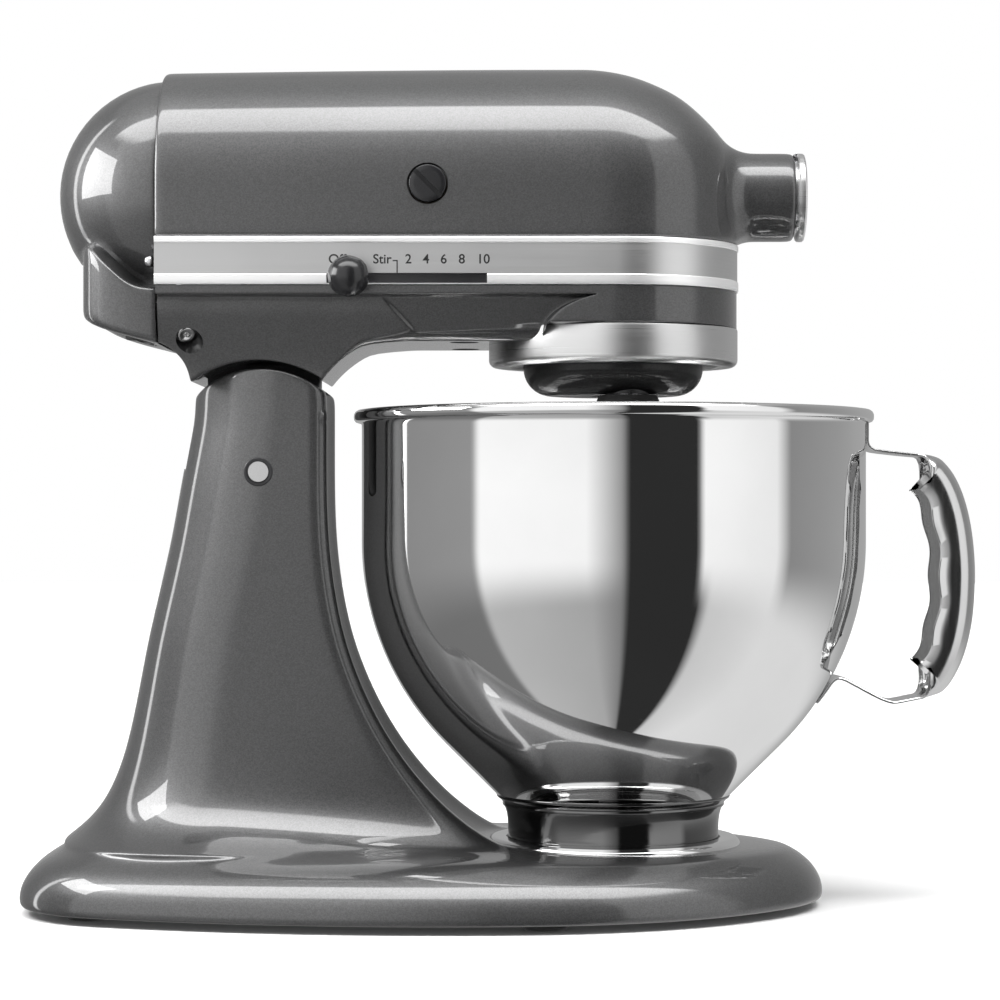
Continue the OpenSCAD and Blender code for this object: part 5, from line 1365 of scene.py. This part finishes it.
class MIXER_OT_handle(bpy.types.Operator):
    """Handle: one strap from the rim to the lower wall that widens into a scalloped grip"""
    bl_idname = "mixer.handle"
    bl_label = "Bowl handle"

    def execute(self, context):
        sizes = context.scene.mixer_sizes
        radius = sizes.bowl_radius * 1000
        grow = sizes.grip_width * 500 / 17.0
        path = [Vector(p) for p in HANDLE_PATH]
        fine = []
        for k in range(len(path) - 1):
            a, b = path[k], path[k + 1]
            before = path[max(0, k - 1)]
            after = path[min(len(path) - 1, k + 2)]
            for j in range(4):
                t = j / 4
                fine.append(0.5 * (2 * a + (b - before) * t
                                   + (2 * before - 5 * a + 4 * b - after) * t * t
                                   + (3 * a - before - 3 * b + after) * t ** 3))
        fine.append(path[-1])
        rows = []
        for k, p in enumerate(fine):
            run = (fine[min(len(fine) - 1, k + 1)] - fine[max(0, k - 1)]).normalized()
            inward = Vector((run.y, -run.x))
            z = p.y
            grip = ease((p.x - GRIP_FROM) / 7.0)
            # finger scallops along the inner lips
            depth = 1.0 + grip * 0.04 * math.cos((z - 139.6) * 2 * math.pi / 25.5)
            hug = 1.0 if p.x < 109 else max(0.0, 1 - (p.x - 109) / 8.0)
            ring = []
            half = []
            for (ys, vs), (yg, vg) in zip(STRAP_HALF, GRIP_HALF):
                lip = depth if vg > 9 else 1.0
                y = ys * (1 - grip) + yg * grow * grip
                v = vs * (1 - grip) + vg * lip * grip * ease((p.x - GRIP_FROM) / 16.0 + 0.25)
                if grip > 0:
                    v = max(v, 0.0)
                half.append((y, v))
            full = half + [(-y, v) for y, v in half[-2:0:-1]]
            for y, v in full:
                q = p + inward * v
                x = q.x - hug * y * y / (2 * radius)
                ring.append(at(x + radius - DRAWN_RADIUS, y, q.y))
            rows.append(ring)
        bm = bmesh.new()
        loops = loft(bm, rows, closed=True)
        bm.faces.new(loops[0])
        bm.faces.new(loops[-1])
        tidy_normals(bm)
        ob = new_object("handle_strap", bm)
        dress(ob, "handle steel", "bowl", "bowl_handle", angle=38)
        return {'FINISHED'}


# ---------------------------------------------------------------- carried-over solids

NODE_FINISHES = {
    "bowl_clamp_plate": "plate steel", "clamp_plate_screws": "bright screw",
    "base_screws": "bright screw", "rubber_feet": "rubber", "hinge_pin": "bright screw",
    "lock_lever": "bright screw", "lock_pin": "turned steel", "base_casting": "graphite paint",
    "column_casting": "graphite paint", "upper_housing": "graphite paint",
    "lower_housing": "graphite paint", "end_cap": "graphite paint", "end_cap_screw": "bright screw",
    "cord_gland": "rubber", "housing_screws_set": "bright screw", "trim_band": "satin band",
    "drip_ring": "satin ring", "ring_gear": "gear steel", "planetary_bushing": "sintered bronze",
    "hub_bushing": "sintered bronze", "hub_cover_pin": "bright screw",
    "brush_holders": "dark board", "carbon_brushes": "carbon", "brush_caps": "black plastic",
    "motor_field": "laminated iron", "field_windings": "enamelled copper",
    "bearing_bracket": "cast aluminium", "rear_bearing": "turned steel",
    "gear_bracket": "cast aluminium", "front_bearing": "turned steel",
    "control_plate": "dark board", "speed_lever": "turned steel", "speed_knob": "black plastic",
    "hub_cover": "bright screw", "attachment_knob": "black plastic",
    "armature_shaft": "turned steel", "armature_core": "laminated iron",
    "armature_windings": "enamelled copper", "commutator": "bar copper",
    "cooling_fan": "satin black", "governor": "brass", "wheel_shaft": "turned steel",
    "worm_wheel": "brass", "planetary_dish": "dark paint", "planetary_pin": "turned steel",
    "planetary_shaft": "turned steel", "centre_gear": "gear steel",
    "planetary_bevel": "gear steel", "beater_bushing": "satin black",
    "beater_shaft": "turned steel", "beater_pin": "bright screw", "beater_collar": "rubber",
    "beater_pinion": "gear steel", "hub_bevel": "gear steel", "hub_shaft": "turned steel",
    "bowl_shell": "polished steel", "bowl_foot": "polished steel", "bowl_handle": "handle steel",
}


class MIXER_OT_solids(bpy.types.Operator):
    """Finishes for every solid that is shown as it is"""
    bl_idname = "mixer.solids"
    bl_label = "Finishes of the solids"

    def execute(self, context):
        for name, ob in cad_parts.items():
            if name not in NODE_FINISHES:
                raise RuntimeError("no finish for " + name)
            finish = finish_of(NODE_FINISHES[name])
            if not ob.material_slots:
                ob.data.materials.append(finish)
            for slot in ob.material_slots:
                slot.material = finish
        return {'FINISHED'}


class MIXER_OT_finishes(bpy.types.Operator):
    """All finishes, from the colours in the panel"""
    bl_idname = "mixer.finishes"
    bl_label = "Finishes"

    def execute(self, context):
        make_materials(context.scene.mixer_colours)
        return {'FINISHED'}


# ---------------------------------------------------------------- stage

def bands(tree, x, y, turn, span, shift, stops):
    """Grey levels along an angle; stops are (degrees, value) from the first angle to the last."""
    n = node(tree, 'ShaderNodeValToRGB', x, y)
    peak = max(v for _, v in stops)
    elements = n.color_ramp.elements
    for k in (0, 1):
        elements[k].position = float(k)
        elements[k].color = (*[stops[-k][1] / peak] * 3, 1)
    for deg, v in stops[1:-1]:
        elements.new((deg + shift) / span).color = (*[v / peak] * 3, 1)
    link(tree, turn, n.inputs[0])
    gain = node(tree, 'ShaderNodeMath', x + 300, y, operation='MULTIPLY')
    gain.inputs[1].default_value = peak
    link(tree, n.outputs[0], gain.inputs[0])
    return gain.outputs[0]


CAMERA_PLACE = (-0.0003, -1.2766, 0.1651)
CAMERA_LENS, CAMERA_SENSOR, CAMERA_SHIFT = 108.0, 36.0, 0.015


def studio_world(world):
    """White surroundings for the eye; soft boxes and dark flags for the reflections."""
    world.use_nodes = True
    t = world.node_tree
    t.nodes.clear()
    out = node(t, 'ShaderNodeOutputWorld', 900, 0)
    coords = node(t, 'ShaderNodeTexCoord', -1400, 0)
    xyz = node(t, 'ShaderNodeSeparateXYZ', -1200, 0)
    link(t, coords.outputs['Generated'], xyz.inputs[0])
    flip = node(t, 'ShaderNodeMath', -1000, -80, operation='MULTIPLY')
    flip.inputs[1].default_value = -1.0
    link(t, xyz.outputs['Y'], flip.inputs[0])
    # turn round the object: 0 is the front side, positive to the right
    turn = node(t, 'ShaderNodeMath', -800, 120, operation='ARCTAN2')
    link(t, xyz.outputs['X'], turn.inputs[0])
    link(t, flip.outputs[0], turn.inputs[1])
    turn01 = node(t, 'ShaderNodeMapRange', -600, 120)
    preset(turn01, From_Min=-math.pi, From_Max=math.pi)
    link(t, turn.outputs[0], turn01.inputs['Value'])
    walls = bands(t, -380, 120, turn01.outputs[0], 360, 180, [
        (-180, 0.4), (-150, 0.3), (-117, 0.12), (-115, 5.0), (-111, 5.0), (-109, 0.3),
        (-68, 0.34), (-64, 1.15), (-14, 1.1), (2, 0.35), (5, 0.03), (36, 0.03), (39, 1.1),
        (76, 1.0), (84, 0.3), (140, 0.4), (180, 0.4)])
    # height above the horizon
    rise = node(t, 'ShaderNodeMath', -800, -160, operation='ARCSINE')
    link(t, xyz.outputs['Z'], rise.inputs[0])
    tall = node(t, 'ShaderNodeMapRange', -380, -160, interpolation_type='SMOOTHSTEP')
    preset(tall, From_Min=math.radians(42), From_Max=math.radians(52))
    link(t, rise.outputs[0], tall.inputs['Value'])
    # the long overhead strip, seen in the roof of the head
    lean = node(t, 'ShaderNodeMath', -800, -420, operation='ARCTAN2')
    link(t, xyz.outputs['Z'], lean.inputs[0])
    link(t, flip.outputs[0], lean.inputs[1])
    lean01 = node(t, 'ShaderNodeMapRange', -600, -420)
    preset(lean01, From_Min=0.0, From_Max=math.pi)
    link(t, lean.outputs[0], lean01.inputs['Value'])
    strip = bands(t, -380, -420, lean01.outputs[0], 180, 0, [
        (0, 0.3), (48, 0.3), (54, 0.9), (57, 6.0), (82, 8.0), (84, 0.6), (110, 0.5), (180, 0.4)])
    # below the horizon the panels darken and the open side turns pale
    deep = bands(t, -380, -760, turn01.outputs[0], 360, 180, [
        (-180, 0.35), (-112, 0.2), (-68, 0.2), (-64, 0.55), (-12, 0.45), (2, 0.25), (5, 0.03),
        (38, 0.03), (44, 0.7), (80, 0.85), (150, 0.8), (180, 0.35)])
    sink = node(t, 'ShaderNodeMapRange', -380, -1000, interpolation_type='SMOOTHSTEP')
    preset(sink, From_Min=math.radians(-6), From_Max=math.radians(-26))
    link(t, rise.outputs[0], sink.inputs['Value'])
    sides = node(t, 'ShaderNodeMix', -40, -500, data_type='RGBA')
    link(t, sink.outputs[0], sides.inputs[0])
    link(t, walls, sides.inputs[6])
    link(t, deep, sides.inputs[7])
    mix = node(t, 'ShaderNodeMix', 0, 0, data_type='RGBA')
    link(t, tall.outputs[0], mix.inputs[0])
    link(t, sides.outputs[2], mix.inputs[6])
    link(t, strip, mix.inputs[7])
    lit = node(t, 'ShaderNodeBackground', 420, 0)
    link(t, mix.outputs[2], lit.inputs['Color'])
    seen = node(t, 'ShaderNodeBackground', 420, -200)
    preset(seen, Color=(1, 1, 1, 1))
    path = node(t, 'ShaderNodeLightPath', 420, 300)
    pick = node(t, 'ShaderNodeMixShader', 680, 0)
    link(t, path.outputs['Is Camera Ray'], pick.inputs[0])
    link(t, lit.outputs[0], pick.inputs[1])
    link(t, seen.outputs[0], pick.inputs[2])
    link(t, pick.outputs[0], out.inputs['Surface'])


class MIXER_OT_stage(bpy.types.Operator):
    """Pale floor, soft light and the camera"""
    bl_idname = "mixer.stage"
    bl_label = "Stage"

    def execute(self, context):
        scene = context.scene
        scene.view_settings.view_transform = 'Standard'
        world = bpy.data.worlds.new("Studio")
        scene.world = world
        studio_world(world)
        bm = bmesh.new()
        bmesh.ops.create_grid(bm, x_segments=2, y_segments=2, size=6.0)
        floor = new_object("floor", bm)
        m, t, p, c = material("pale floor", (0.9, 0.9, 0.9), 0.0, 0.6)
        haze = use(t, "Handling haze", -850, 200, c, Low=0.55, High=0.65, Scale=2.0)
        link(t, haze.outputs[0], p.inputs['Roughness'])
        floor.data.materials.append(m)
        floor.visible_glossy = False
        cam = bpy.data.cameras.new("camera")
        cam.lens = CAMERA_LENS
        cam.sensor_width = CAMERA_SENSOR
        cam.shift_y = CAMERA_SHIFT
        cam.clip_start = 0.05
        cam.clip_end = 60.0
        ob = bpy.data.objects.new("camera", cam)
        ob.location = CAMERA_PLACE
        ob.rotation_euler = (math.radians(90), 0, 0)
        scene.collection.objects.link(ob)
        scene.camera = ob
        for name, place, turn, size, power, glossy in (
                ("overhead", (0, -0.25, 1.7), (-8, 0, 0), (1.6, 0.9), 16.0, False),
                ("side box", (AXIS_X - 0.56, -0.11, 0.42), (0, -90, 0), (0.24, 0.28), 1.9, True)):
            box = bpy.data.lights.new(name, 'AREA')
            box.shape = 'RECTANGLE'
            box.size, box.size_y = size
            box.energy = power
            lamp = bpy.data.objects.new(name, box)
            lamp.location = place
            lamp.rotation_euler = [math.radians(v) for v in turn]
            lamp.visible_glossy = glossy
            lamp.visible_camera = False
            scene.collection.objects.link(lamp)
        return {'FINISHED'}


class MIXER_PT_panel(bpy.types.Panel):
    """Sizes, colours and the steps that build the dressed mixer"""
    bl_idname = "MIXER_PT_panel"
    bl_label = "Stand mixer"
    bl_space_type = 'VIEW_3D'
    bl_region_type = 'UI'
    bl_category = "Mixer"

    def draw(self, context):
        layout = self.layout
        for group in (context.scene.mixer_sizes, context.scene.mixer_colours):
            box = layout.box()
            for key in group.bl_rna.properties.keys():
                if key not in {"rna_type", "name"}:
                    box.prop(group, key)
        for step in STEPS:
            layout.operator(step.bl_idname)


STEPS = (
    MIXER_OT_finishes,
    MIXER_OT_solids,
    MIXER_OT_stand,
    MIXER_OT_head_shell,
    MIXER_OT_hub,
    MIXER_OT_rear_cap,
    MIXER_OT_lower_housing,
    MIXER_OT_trim_band,
    MIXER_OT_dial,
    MIXER_OT_knobs,
    MIXER_OT_fittings,
    MIXER_OT_bowl,
    MIXER_OT_plate,
    MIXER_OT_handle,
    MIXER_OT_stage,
)


CLASSES = (MixerSizes, MixerColours) + STEPS + (MIXER_PT_panel,)


def register():
    for c in CLASSES:
        bpy.utils.register_class(c)
    bpy.types.Scene.mixer_sizes = PointerProperty(type=MixerSizes)
    bpy.types.Scene.mixer_colours = PointerProperty(type=MixerColours)


def unregister():
    del bpy.types.Scene.mixer_colours
    del bpy.types.Scene.mixer_sizes
    for c in reversed(CLASSES):
        bpy.utils.unregister_class(c)


def main():
    register()
    for step in STEPS:
        group, name = step.bl_idname.split(".")
        getattr(getattr(bpy.ops, group), name)()
    bpy.context.view_layer.update()


if __name__ == "__main__":
    main()
